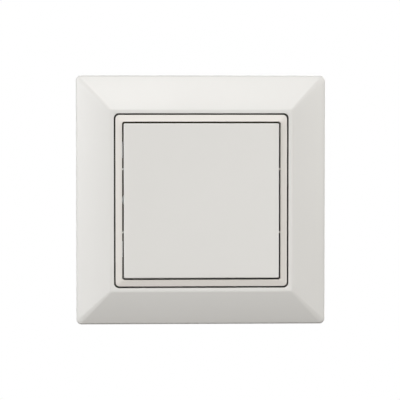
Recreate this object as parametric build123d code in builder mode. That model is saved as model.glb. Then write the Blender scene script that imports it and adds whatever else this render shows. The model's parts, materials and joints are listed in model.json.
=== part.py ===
from build123d import *
import os
from math import atan, cos, sin, radians, sqrt, tan

# A flush-mounted wall switch with one large rocker that springs back to the middle.
# All lengths are in millimetres. X runs to the right, Z runs up, the front faces -Y.
# The wall is the plane y = 0, and a height is a distance outward from the wall, y = -height.
# The insert behind the wall plane has negative heights.

os.makedirs("parts", exist_ok=True)

# Fits between pieces
running_gap = 0.05
slide_gap = 0.1
loose_gap = 0.3

# Cover frame, the sloped square frame that lies on the wall
frame_side = 80.0
frame_corner_radius = 1.6
frame_wall = 1.8
rim_height = 4.6
rim_rounding = 1.1
land_height = 9.2
land_width = 1.45
mitre_radius = 0.4
frame_edge_rounding = 0.25
opening_side = 55.7
opening_corner_radius = 1.6
lip_width = 1.55
lip_thickness = 1.5
lip_height = 3.9
screw_notch_width = 9.0
frame_rib_thickness = 1.0
frame_rib_spacing = 40.0
frame_rib_back = 1.6

# Adapter ring, between the frame and the rocker
ring_gap = 0.4
ring_opening = 50.4
ring_corner_radius = 1.3
ring_opening_radius = 1.1
ring_outer_height = 9.0
ring_inner_height = 9.6
ring_edge_rounding = 0.2
nub_width = 0.5
nub_proud = 0.28
nub_spacing = 20.2
nub_below_face = 0.5
hook_thickness = 1.0
hook_width = 5.0
hook_spacing = 32.0
hook_reach = 0.4
hook_barb_length = 1.2

# Rocker cap
rocker_side_gap = 0.4
rocker_end_gap = 0.5
rocker_height = 10.3
rocker_corner_radius = 0.8
rocker_edge_radius = 0.5
rocker_wall = 1.5
rocker_top = 1.6
skirt_clearance = 0.9
cap_rib_thickness = 1.0
cap_rib_spacing = 18.0
cap_leg_thickness = 1.0
cap_leg_width = 3.0
cap_leg_spacing_x = 24.0
cap_leg_spacing_z = 12.0
cap_barb_reach = 0.5
cap_barb_length = 0.9

# Rocker cradle and its pivot
pivot_height = 5.0
trunnion_radius = 1.5
cradle_side = 28.0
cradle_thickness = 2.0
rocker_tilt = 4.0
stem_radius = 3.0
stem_length = 7.0
plunger_bore_radius = 1.9

# Support plate, the steel yoke behind the frame
plate_edge_gap = 2.7
plate_thickness = 1.0
plate_corner_radius = 3.0
window_width = 36.0
window_length = 31.0
box_screw_spacing = 60.0
box_slot_length = 7.0
box_slot_width = 3.6

# Screws that hold plate, lid and housing together
screw_spacing_x = 24.0
screw_spacing_z = 37.2
screw_radius = 1.25
screw_head_radius = 2.0
screw_head_height = 1.4
screw_length = 8.0
screw_slot_width = 0.6
screw_slot_depth = 0.7

# Mechanism lid
lid_thickness = 1.5
lid_proud = 0.5
tower_thickness = 2.4
tower_width = 6.0
tower_above_pivot = 2.2
tower_gap = 1.0
spring_spacing = 22.0
spring_seat_depth = 2.0
stop_rib_spacing_z = 26.0
stop_rib_spacing_x = 18.0
stop_rib_length = 6.0
stop_rib_thickness = 1.0

# Insert housing
housing_width = 38.0
housing_length = 42.0
housing_depth = 20.0
housing_wall = 1.6
housing_corner_radius = 2.0
boss_width = 4.4
boss_depth = 9.0
boss_wall = 1.2
post_side = 2.0

# Return springs and the plunger in the stem
return_spring_radius = 1.8
return_spring_wire = 0.25
return_spring_turns = 3.5
plunger_radius = 1.8
plunger_tip_radius = 1.0
plunger_tip_drop = 11.0
plunger_neck_length = 2.5
plunger_body_length = 3.0
plunger_spring_radius = 1.4
plunger_spring_wire = 0.2
plunger_spring_turns = 5.5

# Contact lever, its pin and the contact tips
contact_pivot_drop = 15.0
contact_sheet = 0.8
bend_radius = 0.7
lever_width = 6.0
lever_arm = 10.5
lever_foot = 3.6
valley_angle = 45.0
crest_spacing = 5.2
cheek_thickness = 0.8
cheek_depth = 1.4
pin_radius = 0.8
tip_radius = 1.5
tip_thickness = 0.8
tip_spacing = 18.0
fixed_tip_thickness = 0.9
contact_drop = 3.3

# Fixed contacts and terminals
ear_gap = 0.4
ear_width = 4.0
pin_overhang = 0.2
terminal_side_gap = 2.9
terminal_width = 9.5
terminal_length = 6.2
terminal_wall_gap = 0.2
terminal_depth = 4.5
contact_inner = 7.2
contact_overhang = 0.3
common_strip_width = 4.0
common_bridge_width = 5.0
clamp_sheet = 0.4
clamp_side_gap = 0.35
clamp_bend = 0.5
clamp_tongue_inset = 1.6
clamp_front_inset = 3.2
clamp_back_inset = 5.5
clamp_tab_inset = 8.8
clamp_tongue_length = 3.4
entry_side = 4.2
entry_spacing = 6.0
entry_inset = 3.7

# Release buttons at the back
release_length = 4.2
release_width = 3.0
release_inset = 8.4
release_proud = 0.8
release_travel = 1.2
release_flange = 0.5
release_flange_thickness = 0.9

# Spreading claws at both sides
claw_screw_inset = 3.2
claw_screw_radius = 1.5
claw_head_radius = 2.6
claw_head_height = 1.7
claw_screw_end = 20.5
claw_hole_radius = 2.4
dome_radius = 3.37
washer_top = 0.9
claw_width = 7.0
claw_thickness = 1.2
claw_strip_inset = 3.8
claw_foot_thickness = 2.5
claw_foot_back = 19.0
claw_front = 7.5
claw_tooth_length = 2.0
claw_slot_width = 0.8
claw_slot_depth = 0.9

# Heights and half sizes that follow from the values above
plate_front = plate_thickness
lid_front = plate_front + lid_proud
lid_back = -lid_thickness
housing_back = lid_back - housing_depth
floor_front = housing_back + housing_wall
opening_half = opening_side / 2
land_half = opening_half + land_width
lip_half = opening_half - lip_width
ring_side = opening_side - 2 * ring_gap
plate_side = frame_side - 2 * (frame_wall + plate_edge_gap)
rocker_width = ring_opening - 2 * rocker_side_gap
rocker_length = ring_opening - 2 * rocker_end_gap
skirt_back = lip_height + skirt_clearance
cap_underside = rocker_height - rocker_top
cradle_front = pivot_height + cradle_thickness / 2
cradle_back = pivot_height - cradle_thickness / 2
stem_back = cradle_back - stem_length
tower_inner = cradle_side / 2 + tower_gap
tower_outer = tower_inner + tower_thickness
tip_centre = pivot_height - plunger_tip_drop
contact_pivot = pivot_height - contact_pivot_drop
fixed_tip_front = contact_pivot - contact_drop
contact_front = fixed_tip_front - fixed_tip_thickness
contact_back = contact_front - contact_sheet
cavity_half_width = housing_width / 2 - housing_wall
cavity_half_length = housing_length / 2 - housing_wall
terminal_outer = cavity_half_length - terminal_wall_gap
terminal_inner = terminal_outer - terminal_length
terminal_right = cavity_half_width - terminal_side_gap
terminal_left = terminal_right - terminal_width
terminal_middle = (terminal_left + terminal_right) / 2
clamp_width = terminal_width - 2 * clamp_side_gap
entry_z = terminal_outer - entry_inset
release_z = terminal_outer - release_inset
claw_screw_x = housing_width / 2 + claw_screw_inset
claw_outer_x = claw_screw_x + claw_strip_inset
frame_slope = atan((land_height - rim_height) / (frame_side / 2 - land_half))
tilt = radians(rocker_tilt)


def front_plane(height):
    """The plane parallel to the wall at a height, with x to the right and y up."""
    return Plane.XZ.offset(height)


def side_plane(x):
    """The upright plane across the wall at an x, with its x upward and its y outward."""
    return Plane(origin=(x, 0, 0), x_dir=(0, 0, 1), z_dir=(1, 0, 0))


def level_plane(z):
    """The level plane at a z, with its x to the right and its y outward."""
    return Plane(origin=(0, 0, z), x_dir=(1, 0, 0), z_dir=(0, 0, -1))


def outward_axis(x, z):
    """The line that stands straight out of the wall at x and z."""
    return Axis((x, 0, z), (0, -1, 0))


def at_height(builder, height):
    """The edges that lie wholly in the plane parallel to the wall at a height."""
    return builder.edges().filter_by_position(Axis.Y, -height - 0.01, -height + 0.01)


def wound_spring(x, z, back, front, mean_radius, wire_radius, turns):
    """A coil spring that stands between two heights, round an outward line."""
    rise = front - back - 2 * wire_radius
    with BuildPart() as spring:
        with BuildLine():
            wire = Helix(
                pitch=rise / turns,
                height=rise,
                radius=mean_radius,
                center=(x, -back - wire_radius, z),
                direction=(0, -1, 0),
            )
        with BuildSketch(wire ^ 0):
            Circle(wire_radius)
        sweep(path=wire, is_frenet=True)
    return spring


# Cover frame: a rim, four sloped faces that meet in mitres, a land and a stepped opening
slope_run = frame_side / 2 - land_half
slope_wall = frame_wall / cos(frame_slope)
inner_half = frame_side / 2 - frame_wall


def sloped_inside(half):
    """The height of the inside of the sloped face at a distance from the middle."""
    return rim_height + (frame_side / 2 - half) * tan(frame_slope) - slope_wall


with BuildPart() as cover_frame:
    with BuildSketch(front_plane(0)):
        RectangleRounded(frame_side, frame_side, frame_corner_radius)
    extrude(amount=rim_height)
    with BuildSketch(front_plane(rim_height)):
        RectangleRounded(frame_side, frame_side, frame_corner_radius)
    with BuildSketch(front_plane(land_height)):
        RectangleRounded(2 * land_half, 2 * land_half, mitre_radius)
    loft(ruled=True)
    fillet(at_height(cover_frame, rim_height), radius=rim_rounding)
    with BuildSketch(front_plane(0)):
        RectangleRounded(2 * inner_half, 2 * inner_half, mitre_radius)
    extrude(amount=sloped_inside(inner_half), mode=Mode.SUBTRACT)
    with BuildSketch(front_plane(sloped_inside(inner_half))):
        RectangleRounded(2 * inner_half, 2 * inner_half, mitre_radius)
    with BuildSketch(front_plane(sloped_inside(land_half))):
        RectangleRounded(2 * land_half, 2 * land_half, mitre_radius)
    loft(ruled=True, mode=Mode.SUBTRACT)
    with BuildSketch(front_plane(plate_front)):
        RectangleRounded(2 * land_half, 2 * land_half, opening_corner_radius)
    extrude(amount=sloped_inside(land_half) + slope_wall / 2 - plate_front)
    with BuildSketch(front_plane(lip_height)):
        RectangleRounded(opening_side, opening_side, opening_corner_radius)
    extrude(amount=land_height, mode=Mode.SUBTRACT)
    with BuildSketch(front_plane(0)):
        RectangleRounded(2 * lip_half, 2 * lip_half, opening_corner_radius)
    extrude(amount=land_height, mode=Mode.SUBTRACT)
    with BuildSketch(front_plane(0)):
        RectangleRounded(opening_side, opening_side, opening_corner_radius)
    extrude(amount=lip_height - lip_thickness, mode=Mode.SUBTRACT)
    # Notches that leave room for the heads of the box screws
    with BuildSketch(front_plane(0)):
        Rectangle(screw_notch_width, 2 * land_half + 2 * frame_wall)
        Rectangle(2 * land_half + 2 * frame_wall, screw_notch_width)
    extrude(amount=lip_height, mode=Mode.SUBTRACT)
    # Stiffening ribs from the rim to the wall of the opening
    rib_inner = land_half - land_width / 2
    rib_outer = inner_half + frame_wall / 2
    rib_points = [
        (rib_inner, frame_rib_back),
        (rib_outer, frame_rib_back),
        (rib_outer, sloped_inside(rib_outer) + slope_wall / 2),
        (rib_inner, sloped_inside(rib_inner) + slope_wall / 2),
    ]
    for place in (-frame_rib_spacing / 2, frame_rib_spacing / 2):
        for rib_plane in (side_plane(place), level_plane(place)):
            for way in (-1, 1):
                with BuildSketch(rib_plane):
                    with BuildLine():
                        Polyline(*[(way * across, height) for across, height in rib_points], close=True)
                    make_face()
                extrude(amount=frame_rib_thickness / 2, both=True)
    fillet(
        at_height(cover_frame, land_height).filter_by(
            lambda edge: max(abs(edge.center().X), abs(edge.center().Z)) < opening_half + 0.05
        ),
        radius=frame_edge_rounding,
    )
cover_frame.part.label = "cover_frame"
export_step(cover_frame.part, "parts/cover_frame.step")

# Adapter ring: it stands on the frame's lip, and four hooks grip behind the support plate
ring_width = (ring_side - ring_opening) / 2
ring_cutaway = ring_opening - 2 * ring_width
ring_cutaway_height = 2 * ring_inner_height - ring_outer_height
hook_outer = lip_half - slide_gap
hook_middle = hook_outer - hook_thickness / 2
hook_barb_front = -slide_gap
with BuildPart() as adapter_ring:
    with BuildSketch(front_plane(lip_height)):
        RectangleRounded(ring_side, ring_side, ring_corner_radius)
    extrude(amount=ring_outer_height - lip_height)
    with BuildSketch(front_plane(ring_outer_height)):
        RectangleRounded(ring_side, ring_side, ring_corner_radius)
    with BuildSketch(front_plane(ring_cutaway_height)):
        RectangleRounded(ring_cutaway, ring_cutaway, ring_opening_radius)
    loft(ruled=True)
    with BuildSketch(front_plane(lip_height)):
        RectangleRounded(ring_opening, ring_opening, ring_opening_radius)
    extrude(amount=ring_inner_height, mode=Mode.SUBTRACT)
    fillet(at_height(adapter_ring, ring_outer_height), radius=ring_edge_rounding)
    # Nubs that keep the rocker centred from left to right
    with BuildSketch(front_plane(lip_height)):
        with GridLocations(ring_opening, nub_spacing, 2, 2):
            Rectangle(2 * nub_proud, nub_width)
    extrude(amount=ring_inner_height - nub_below_face - lip_height)
    # Hooks with a barb that catches behind the plate
    with BuildSketch(front_plane(hook_barb_front - hook_barb_length)):
        with GridLocations(2 * hook_middle, hook_spacing, 2, 2):
            Rectangle(hook_thickness, hook_width)
    extrude(amount=lip_height + hook_thickness - hook_barb_front + hook_barb_length)
    for way in (-1, 1):
        with BuildSketch(level_plane(0)) as barb:
            with BuildLine():
                Polyline(
                    (way * hook_middle, hook_barb_front),
                    (way * (hook_outer + 2 * slide_gap + hook_reach), hook_barb_front),
                    (way * hook_outer, hook_barb_front - hook_barb_length),
                    (way * hook_middle, hook_barb_front - hook_barb_length),
                    close=True,
                )
            make_face()
        with Locations((0, 0, hook_spacing / 2), (0, 0, -hook_spacing / 2)):
            add(extrude(barb.sketch, amount=hook_width / 2, both=True, mode=Mode.PRIVATE))
adapter_ring.part.label = "adapter_ring"
export_step(adapter_ring.part, "parts/adapter_ring.step")

# Rocker cap: a hollow square cap with ribs that stand on the cradle and four snap legs
with BuildPart() as rocker_cap:
    with BuildSketch(front_plane(skirt_back)):
        RectangleRounded(rocker_width, rocker_length, rocker_corner_radius)
    extrude(amount=rocker_height - skirt_back)
    fillet(at_height(rocker_cap, rocker_height), radius=rocker_edge_radius)
    with BuildSketch(front_plane(skirt_back)):
        Rectangle(rocker_width - 2 * rocker_wall, rocker_length - 2 * rocker_wall)
    extrude(amount=cap_underside - skirt_back, mode=Mode.SUBTRACT)
    with BuildSketch(front_plane(cradle_front)):
        with GridLocations(cap_rib_spacing, 0, 2, 1):
            Rectangle(cap_rib_thickness, cradle_side)
        with GridLocations(0, cap_rib_spacing, 1, 2):
            Rectangle(cradle_side, cap_rib_thickness)
    extrude(amount=cap_underside - cradle_front)
    leg_back = cradle_back - running_gap - cap_barb_length
    with BuildSketch(front_plane(leg_back)):
        with GridLocations(cap_leg_spacing_x, cap_leg_spacing_z, 2, 2):
            Rectangle(cap_leg_thickness, cap_leg_width)
    extrude(amount=cap_underside - leg_back)
    leg_outer = cap_leg_spacing_x / 2 + cap_leg_thickness / 2
    for way in (-1, 1):
        with BuildSketch(level_plane(0)) as barb:
            with BuildLine():
                Polyline(
                    (way * cap_leg_spacing_x / 2, cradle_back - running_gap),
                    (way * (leg_outer + cap_barb_reach), cradle_back - running_gap),
                    (way * leg_outer, leg_back),
                    (way * cap_leg_spacing_x / 2, leg_back),
                    close=True,
                )
            make_face()
        with Locations((0, 0, cap_leg_spacing_z / 2), (0, 0, -cap_leg_spacing_z / 2)):
            add(extrude(barb.sketch, amount=cap_leg_width / 2, both=True, mode=Mode.PRIVATE))
rocker_cap.part.label = "rocker_cap"
export_step(rocker_cap.part, "parts/rocker_cap.step")

# Rocker cradle: a plate with two trunnions, slots for the cap's legs and a hollow stem
trunnion_root = cradle_side / 2 - trunnion_radius
trunnion_end = tower_outer + slide_gap
with BuildPart() as rocker_cradle:
    with BuildSketch(front_plane(cradle_back)):
        RectangleRounded(cradle_side, cradle_side, frame_corner_radius)
        with GridLocations(cap_leg_spacing_x, cap_leg_spacing_z, 2, 2):
            Rectangle(
                cap_leg_thickness + 2 * slide_gap,
                cap_leg_width + 2 * slide_gap,
                mode=Mode.SUBTRACT,
            )
    extrude(amount=cradle_thickness)
    for start in (-trunnion_end, trunnion_root):
        with BuildSketch(side_plane(start)):
            with Locations((0, pivot_height)):
                Circle(trunnion_radius)
        extrude(amount=trunnion_end - trunnion_root)
    with BuildSketch(front_plane(stem_back)):
        Circle(stem_radius)
    extrude(amount=cradle_back - stem_back + cradle_thickness / 2)
    with BuildSketch(front_plane(stem_back)):
        Circle(plunger_bore_radius)
    extrude(amount=cradle_back - stem_back, mode=Mode.SUBTRACT)
rocker_cradle.part.label = "rocker_cradle"
export_step(rocker_cradle.part, "parts/rocker_cradle.step")

# Support plate: sheet steel with a window, slots for box screws and holes for claws and hooks
hook_slot_width = hook_thickness + 2 * slide_gap
with BuildPart() as support_plate:
    with BuildSketch(front_plane(0)):
        RectangleRounded(plate_side, plate_side, plate_corner_radius)
        Rectangle(window_width, window_length, mode=Mode.SUBTRACT)
        with GridLocations(box_screw_spacing, 0, 2, 1):
            SlotOverall(box_slot_length, box_slot_width, mode=Mode.SUBTRACT)
        with GridLocations(0, box_screw_spacing, 1, 2):
            SlotOverall(box_slot_length, box_slot_width, rotation=90, mode=Mode.SUBTRACT)
        with GridLocations(2 * hook_middle, hook_spacing, 2, 2):
            Rectangle(hook_slot_width, hook_width + 2 * slide_gap, mode=Mode.SUBTRACT)
        with GridLocations(2 * claw_screw_x, 0, 2, 1):
            Circle(claw_hole_radius, mode=Mode.SUBTRACT)
        with GridLocations(screw_spacing_x, screw_spacing_z, 2, 2):
            Circle(screw_radius + slide_gap, mode=Mode.SUBTRACT)
    extrude(amount=plate_thickness)
support_plate.part.label = "support_plate"
export_step(support_plate.part, "parts/support_plate.step")

# Four pan-head screws, one node
screw_end = plate_front - screw_length
with BuildPart() as yoke_screws:
    with BuildSketch(front_plane(screw_end)):
        with GridLocations(screw_spacing_x, screw_spacing_z, 2, 2):
            Circle(screw_radius)
    extrude(amount=screw_length)
    with BuildSketch(front_plane(plate_front)):
        with GridLocations(screw_spacing_x, screw_spacing_z, 2, 2):
            Circle(screw_head_radius)
    extrude(amount=screw_head_height)
    fillet(at_height(yoke_screws, plate_front + screw_head_height), radius=screw_head_height / 3)
    with BuildSketch(front_plane(plate_front + screw_head_height - screw_slot_depth)):
        with GridLocations(screw_spacing_x, screw_spacing_z, 2, 2):
            Rectangle(2 * screw_head_radius, screw_slot_width)
    extrude(amount=screw_slot_depth, mode=Mode.SUBTRACT)
yoke_screws.part.label = "yoke_screws"
export_step(yoke_screws.part, "parts/yoke_screws.step")

# Mechanism lid: it closes the housing, fills the plate's window and carries the rocker
raised_width = window_width - 2 * loose_gap
raised_length = window_length - 2 * loose_gap
stem_swing = (pivot_height - lid_back) * sin(tilt)
stop_height = pivot_height - cradle_thickness / 2 * cos(tilt) - stop_rib_spacing_z / 2 * sin(tilt)
stop_front = stop_height - stop_rib_thickness / 2 * sin(tilt) - slide_gap
seat_radius = return_spring_radius + return_spring_wire + loose_gap
with BuildPart() as mechanism_lid:
    with BuildSketch(front_plane(lid_back)):
        RectangleRounded(housing_width, housing_length, housing_corner_radius)
    extrude(amount=lid_thickness)
    with BuildSketch(front_plane(lid_back)):
        Rectangle(raised_width, raised_length)
    extrude(amount=lid_front - lid_back)
    with BuildSketch(front_plane(lid_front)):
        with GridLocations(tower_inner + tower_outer, 0, 2, 1):
            Rectangle(tower_thickness, tower_width)
        with GridLocations(stop_rib_spacing_x, stop_rib_spacing_z, 2, 2):
            Rectangle(stop_rib_length, stop_rib_thickness)
    extrude(amount=stop_front - lid_front)
    with BuildSketch(front_plane(lid_front)):
        with GridLocations(tower_inner + tower_outer, 0, 2, 1):
            Rectangle(tower_thickness, tower_width)
    extrude(amount=pivot_height + tower_above_pivot - lid_front)
    with BuildSketch(side_plane(-tower_outer)):
        with Locations((0, pivot_height)):
            Circle(trunnion_radius + running_gap)
    extrude(amount=2 * tower_outer, mode=Mode.SUBTRACT)
    with BuildSketch(front_plane(lid_back)):
        Rectangle(2 * (stem_radius + 2 * loose_gap), 2 * (stem_radius + stem_swing + loose_gap))
        with GridLocations(screw_spacing_x, screw_spacing_z, 2, 2):
            Circle(screw_radius + slide_gap)
    extrude(amount=lid_front - lid_back, mode=Mode.SUBTRACT)
    with BuildSketch(front_plane(lid_front - spring_seat_depth)):
        with GridLocations(0, spring_spacing, 1, 2):
            Circle(seat_radius)
    extrude(amount=spring_seat_depth, mode=Mode.SUBTRACT)
mechanism_lid.part.label = "mechanism_lid"
export_step(mechanism_lid.part, "parts/mechanism_lid.step")

# Return springs, one above and one below the pivot, between the lid and the cradle
for name, z in (("upper_return_spring", spring_spacing / 2), ("lower_return_spring", -spring_spacing / 2)):
    return_spring = wound_spring(
        0,
        z,
        lid_front - spring_seat_depth,
        cradle_back,
        return_spring_radius,
        return_spring_wire,
        return_spring_turns,
    )
    return_spring.part.label = name
    export_step(return_spring.part, f"parts/{name}.step")

# Drive plunger: a ball-ended pin in the stem that pushes the contact lever over
neck_front = tip_centre + plunger_neck_length
plunger_front = neck_front + plunger_body_length
with BuildPart() as drive_plunger:
    with BuildSketch(side_plane(0)):
        with BuildLine():
            CenterArc((0, tip_centre), plunger_tip_radius, -90, 90)
            Polyline(
                (plunger_tip_radius, tip_centre),
                (plunger_tip_radius, neck_front),
                (plunger_radius, neck_front),
                (plunger_radius, plunger_front),
                (0, plunger_front),
                (0, tip_centre - plunger_tip_radius),
            )
        make_face()
    revolve(axis=outward_axis(0, 0))
drive_plunger.part.label = "drive_plunger"
export_step(drive_plunger.part, "parts/drive_plunger.step")

plunger_spring = wound_spring(
    0,
    0,
    plunger_front,
    cradle_back,
    plunger_spring_radius,
    plunger_spring_wire,
    plunger_spring_turns,
)
plunger_spring.part.label = "plunger_spring"
export_step(plunger_spring.part, "parts/plunger_spring.step")

# Contact lever: a bent strip with a valley for the plunger and two cheeks for its pin
wall_distance = plunger_tip_radius + slide_gap + contact_sheet / 2
valley_height = tip_centre - wall_distance / cos(radians(valley_angle))
crest_half = crest_spacing / 2
crest_height = valley_height + crest_half * tan(radians(valley_angle))
with BuildPart() as contact_lever:
    with BuildSketch(side_plane(0)):
        with BuildLine():
            FilletPolyline(
                (-lever_arm, contact_pivot),
                (-lever_foot, contact_pivot),
                (-crest_half, crest_height),
                (0, valley_height),
                (crest_half, crest_height),
                (lever_foot, contact_pivot),
                (lever_arm, contact_pivot),
                radius=bend_radius,
            )
        trace(line_width=contact_sheet)
    extrude(amount=lever_width / 2, both=True)
    cheek_plane_x = (lever_width - cheek_thickness) / 2
    cheek_front = contact_pivot + contact_sheet / 2
    for way in (-1, 1):
        with BuildSketch(side_plane(way * cheek_plane_x)):
            with BuildLine():
                Polyline(
                    (-lever_foot - contact_sheet, cheek_front),
                    (lever_foot + contact_sheet, cheek_front),
                    (lever_foot + contact_sheet, contact_pivot),
                    (cheek_depth, contact_pivot - cheek_depth),
                    (-cheek_depth, contact_pivot - cheek_depth),
                    (-lever_foot - contact_sheet, contact_pivot),
                    close=True,
                )
            make_face()
        extrude(amount=cheek_thickness / 2, both=True)
    with BuildSketch(side_plane(0)):
        with Locations((0, contact_pivot)):
            Circle(pin_radius + running_gap)
    extrude(amount=lever_width, both=True, mode=Mode.SUBTRACT)
contact_lever.part.label = "contact_lever"
export_step(contact_lever.part, "parts/contact_lever.step")

# Pivot pin of the lever, whose ends lie in the grooves of the common contact
ear_inner = lever_width / 2 + ear_gap
ear_outer = ear_inner + contact_sheet
with BuildPart() as contact_pivot_pin:
    with BuildSketch(side_plane(0)):
        with Locations((0, contact_pivot)):
            Circle(pin_radius)
    extrude(amount=ear_outer + pin_overhang, both=True)
contact_pivot_pin.part.label = "contact_pivot_pin"
export_step(contact_pivot_pin.part, "parts/contact_pivot_pin.step")

# Silver tips under the lever's arms and on the fixed contacts
arm_back = contact_pivot - contact_sheet / 2
with BuildPart() as moving_contact_tips:
    with BuildSketch(front_plane(arm_back - tip_thickness)):
        with GridLocations(0, tip_spacing, 1, 2):
            Circle(tip_radius)
    extrude(amount=tip_thickness)
    chamfer(at_height(moving_contact_tips, arm_back - tip_thickness), length=tip_thickness / 4)
moving_contact_tips.part.label = "moving_contact_tips"
export_step(moving_contact_tips.part, "parts/moving_contact_tips.step")

with BuildPart() as fixed_contact_tips:
    with BuildSketch(front_plane(contact_front)):
        with GridLocations(0, tip_spacing, 1, 2):
            Circle(tip_radius)
    extrude(amount=fixed_tip_thickness)
    chamfer(at_height(fixed_contact_tips, fixed_tip_front), length=fixed_tip_thickness / 4)
fixed_contact_tips.part.label = "fixed_contact_tips"
export_step(fixed_contact_tips.part, "parts/fixed_contact_tips.step")

# Common contact: a flat strip with two grooved ears for the pin and a terminal plate
ear_front = contact_pivot + pin_radius
with BuildPart() as common_contact:
    with BuildSketch(front_plane(contact_back)):
        with Locations((-terminal_middle, (terminal_inner + terminal_outer) / 2)):
            Rectangle(terminal_right - terminal_left, terminal_outer - terminal_inner)
        with Locations((-terminal_right + common_strip_width / 2, terminal_inner / 2)):
            Rectangle(common_strip_width, terminal_inner + contact_sheet)
        with Locations(((ear_outer - terminal_right) / 2, 0)):
            Rectangle(ear_outer + terminal_right, common_bridge_width)
    extrude(amount=contact_sheet)
    with BuildSketch(front_plane(contact_front)):
        with GridLocations(ear_inner + ear_outer, 0, 2, 1):
            Rectangle(contact_sheet, ear_width)
    extrude(amount=ear_front - contact_front)
    with BuildSketch(side_plane(0)):
        with Locations((0, contact_pivot)):
            Circle(pin_radius + running_gap)
        with Locations((0, (contact_pivot + ear_front) / 2)):
            Rectangle(2 * (pin_radius + running_gap), ear_front - contact_pivot)
    extrude(amount=ear_outer, both=True, mode=Mode.SUBTRACT)
    with BuildSketch(front_plane(contact_back - terminal_depth)):
        with Locations((-terminal_middle, terminal_outer - contact_sheet / 2)):
            Rectangle(terminal_right - terminal_left, contact_sheet)
    extrude(amount=terminal_depth)
common_contact.part.label = "common_contact"
export_step(common_contact.part, "parts/common_contact.step")

# Upper and lower contacts, the same piece the other way up
contact_left = -tip_radius - contact_overhang
for name, way in (("upper_contact", 1), ("lower_contact", -1)):
    with BuildPart() as outer_contact:
        with BuildSketch(front_plane(contact_back)):
            with Locations(((contact_left + terminal_right) / 2, way * (contact_inner + terminal_outer) / 2)):
                Rectangle(terminal_right - contact_left, terminal_outer - contact_inner)
        extrude(amount=contact_sheet)
        with BuildSketch(front_plane(contact_back - terminal_depth)):
            with Locations((terminal_middle, way * (terminal_outer - contact_sheet / 2))):
                Rectangle(terminal_right - terminal_left, contact_sheet)
        extrude(amount=terminal_depth)
    outer_contact.part.label = name
    export_step(outer_contact.part, f"parts/{name}.step")

# Terminals: each has a bent clamp spring and a release button at the back
release_flange_back = floor_front
release_flange_front = floor_front + release_flange_thickness
clamp_front = contact_back - clamp_sheet / 2
clamp_tab_height = release_flange_front + release_travel + slide_gap + clamp_sheet / 2
terminals = (("common", -1, 1), ("upper", 1, 1), ("lower", 1, -1))
for terminal, side, way in terminals:
    with BuildPart() as clamp_spring:
        with BuildSketch(side_plane(side * terminal_middle)):
            with BuildLine():
                FilletPolyline(
                    (way * (terminal_outer - clamp_tab_inset), clamp_tab_height),
                    (way * (terminal_outer - clamp_back_inset), clamp_tab_height),
                    (way * (terminal_outer - clamp_back_inset), clamp_front),
                    (way * (terminal_outer - clamp_front_inset), clamp_front),
                    (way * (terminal_outer - clamp_tongue_inset), clamp_front - clamp_tongue_length),
                    radius=clamp_bend,
                )
            trace(line_width=clamp_sheet)
        extrude(amount=clamp_width / 2, both=True)
    clamp_spring.part.label = f"{terminal}_clamp_spring"
    export_step(clamp_spring.part, f"parts/{terminal}_clamp_spring.step")

    with BuildPart() as release_button:
        with BuildSketch(front_plane(housing_back - release_proud)):
            with Locations((side * terminal_middle, way * release_z)):
                RectangleRounded(release_length, release_width, release_flange)
        extrude(amount=release_proud + housing_wall)
        with BuildSketch(front_plane(release_flange_back)):
            with Locations((side * terminal_middle, way * release_z)):
                Rectangle(release_length + 2 * release_flange, release_width + 2 * release_flange)
        extrude(amount=release_flange_thickness)
    release_button.part.label = f"{terminal}_release"
    export_step(release_button.part, f"parts/{terminal}_release.step")

# Insert housing: a deep box with screw bosses, posts for the contacts and its terminal openings
post_places = (
    (contact_left + post_side, contact_inner + post_side),
    (terminal_right - post_side / 2, contact_inner + post_side / 2),
    (contact_left + post_side, terminal_outer - post_side),
)
boss_back = lid_back - boss_depth
boss_inner = screw_spacing_z / 2 - screw_radius - boss_wall
with BuildPart() as insert_housing:
    with BuildSketch(front_plane(housing_back)):
        RectangleRounded(housing_width, housing_length, housing_corner_radius)
    extrude(amount=housing_depth)
    fillet(at_height(insert_housing, housing_back), radius=housing_wall / 2)
    with BuildSketch(front_plane(floor_front)):
        Rectangle(2 * cavity_half_width, 2 * cavity_half_length)
    extrude(amount=lid_back - floor_front, mode=Mode.SUBTRACT)
    with BuildSketch(front_plane(boss_back)):
        with GridLocations(screw_spacing_x, boss_inner + cavity_half_length, 2, 2):
            Rectangle(boss_width, cavity_half_length - boss_inner)
    extrude(amount=boss_depth)
    with BuildSketch(front_plane(screw_end)):
        with GridLocations(screw_spacing_x, screw_spacing_z, 2, 2):
            Circle(screw_radius + slide_gap)
    extrude(amount=lid_back - screw_end, mode=Mode.SUBTRACT)
    # Posts that carry the brass contacts
    with BuildSketch(front_plane(floor_front)):
        for x, z in post_places:
            with Locations((x, z), (x, -z)):
                Rectangle(post_side, post_side)
        with Locations(
            (-terminal_right + post_side / 2, 0),
            (-terminal_right + post_side / 2, terminal_inner / 2),
            (ear_inner - post_side / 2, 0),
            (-ear_inner + post_side / 2, 0),
        ):
            Rectangle(post_side, post_side)
    extrude(amount=contact_back - floor_front)
    # Wire entries and the holes of the release buttons
    with BuildSketch(front_plane(housing_back)):
        for terminal, side, way in terminals:
            with Locations((side * terminal_middle, way * entry_z)):
                with GridLocations(entry_spacing, 0, 2, 1):
                    Rectangle(entry_side, entry_side)
            with Locations((side * terminal_middle, way * release_z)):
                Rectangle(release_length + 2 * slide_gap, release_width + 2 * slide_gap)
    extrude(amount=housing_wall, mode=Mode.SUBTRACT)
insert_housing.part.label = "insert_housing"
export_step(insert_housing.part, "parts/insert_housing.step")

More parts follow.
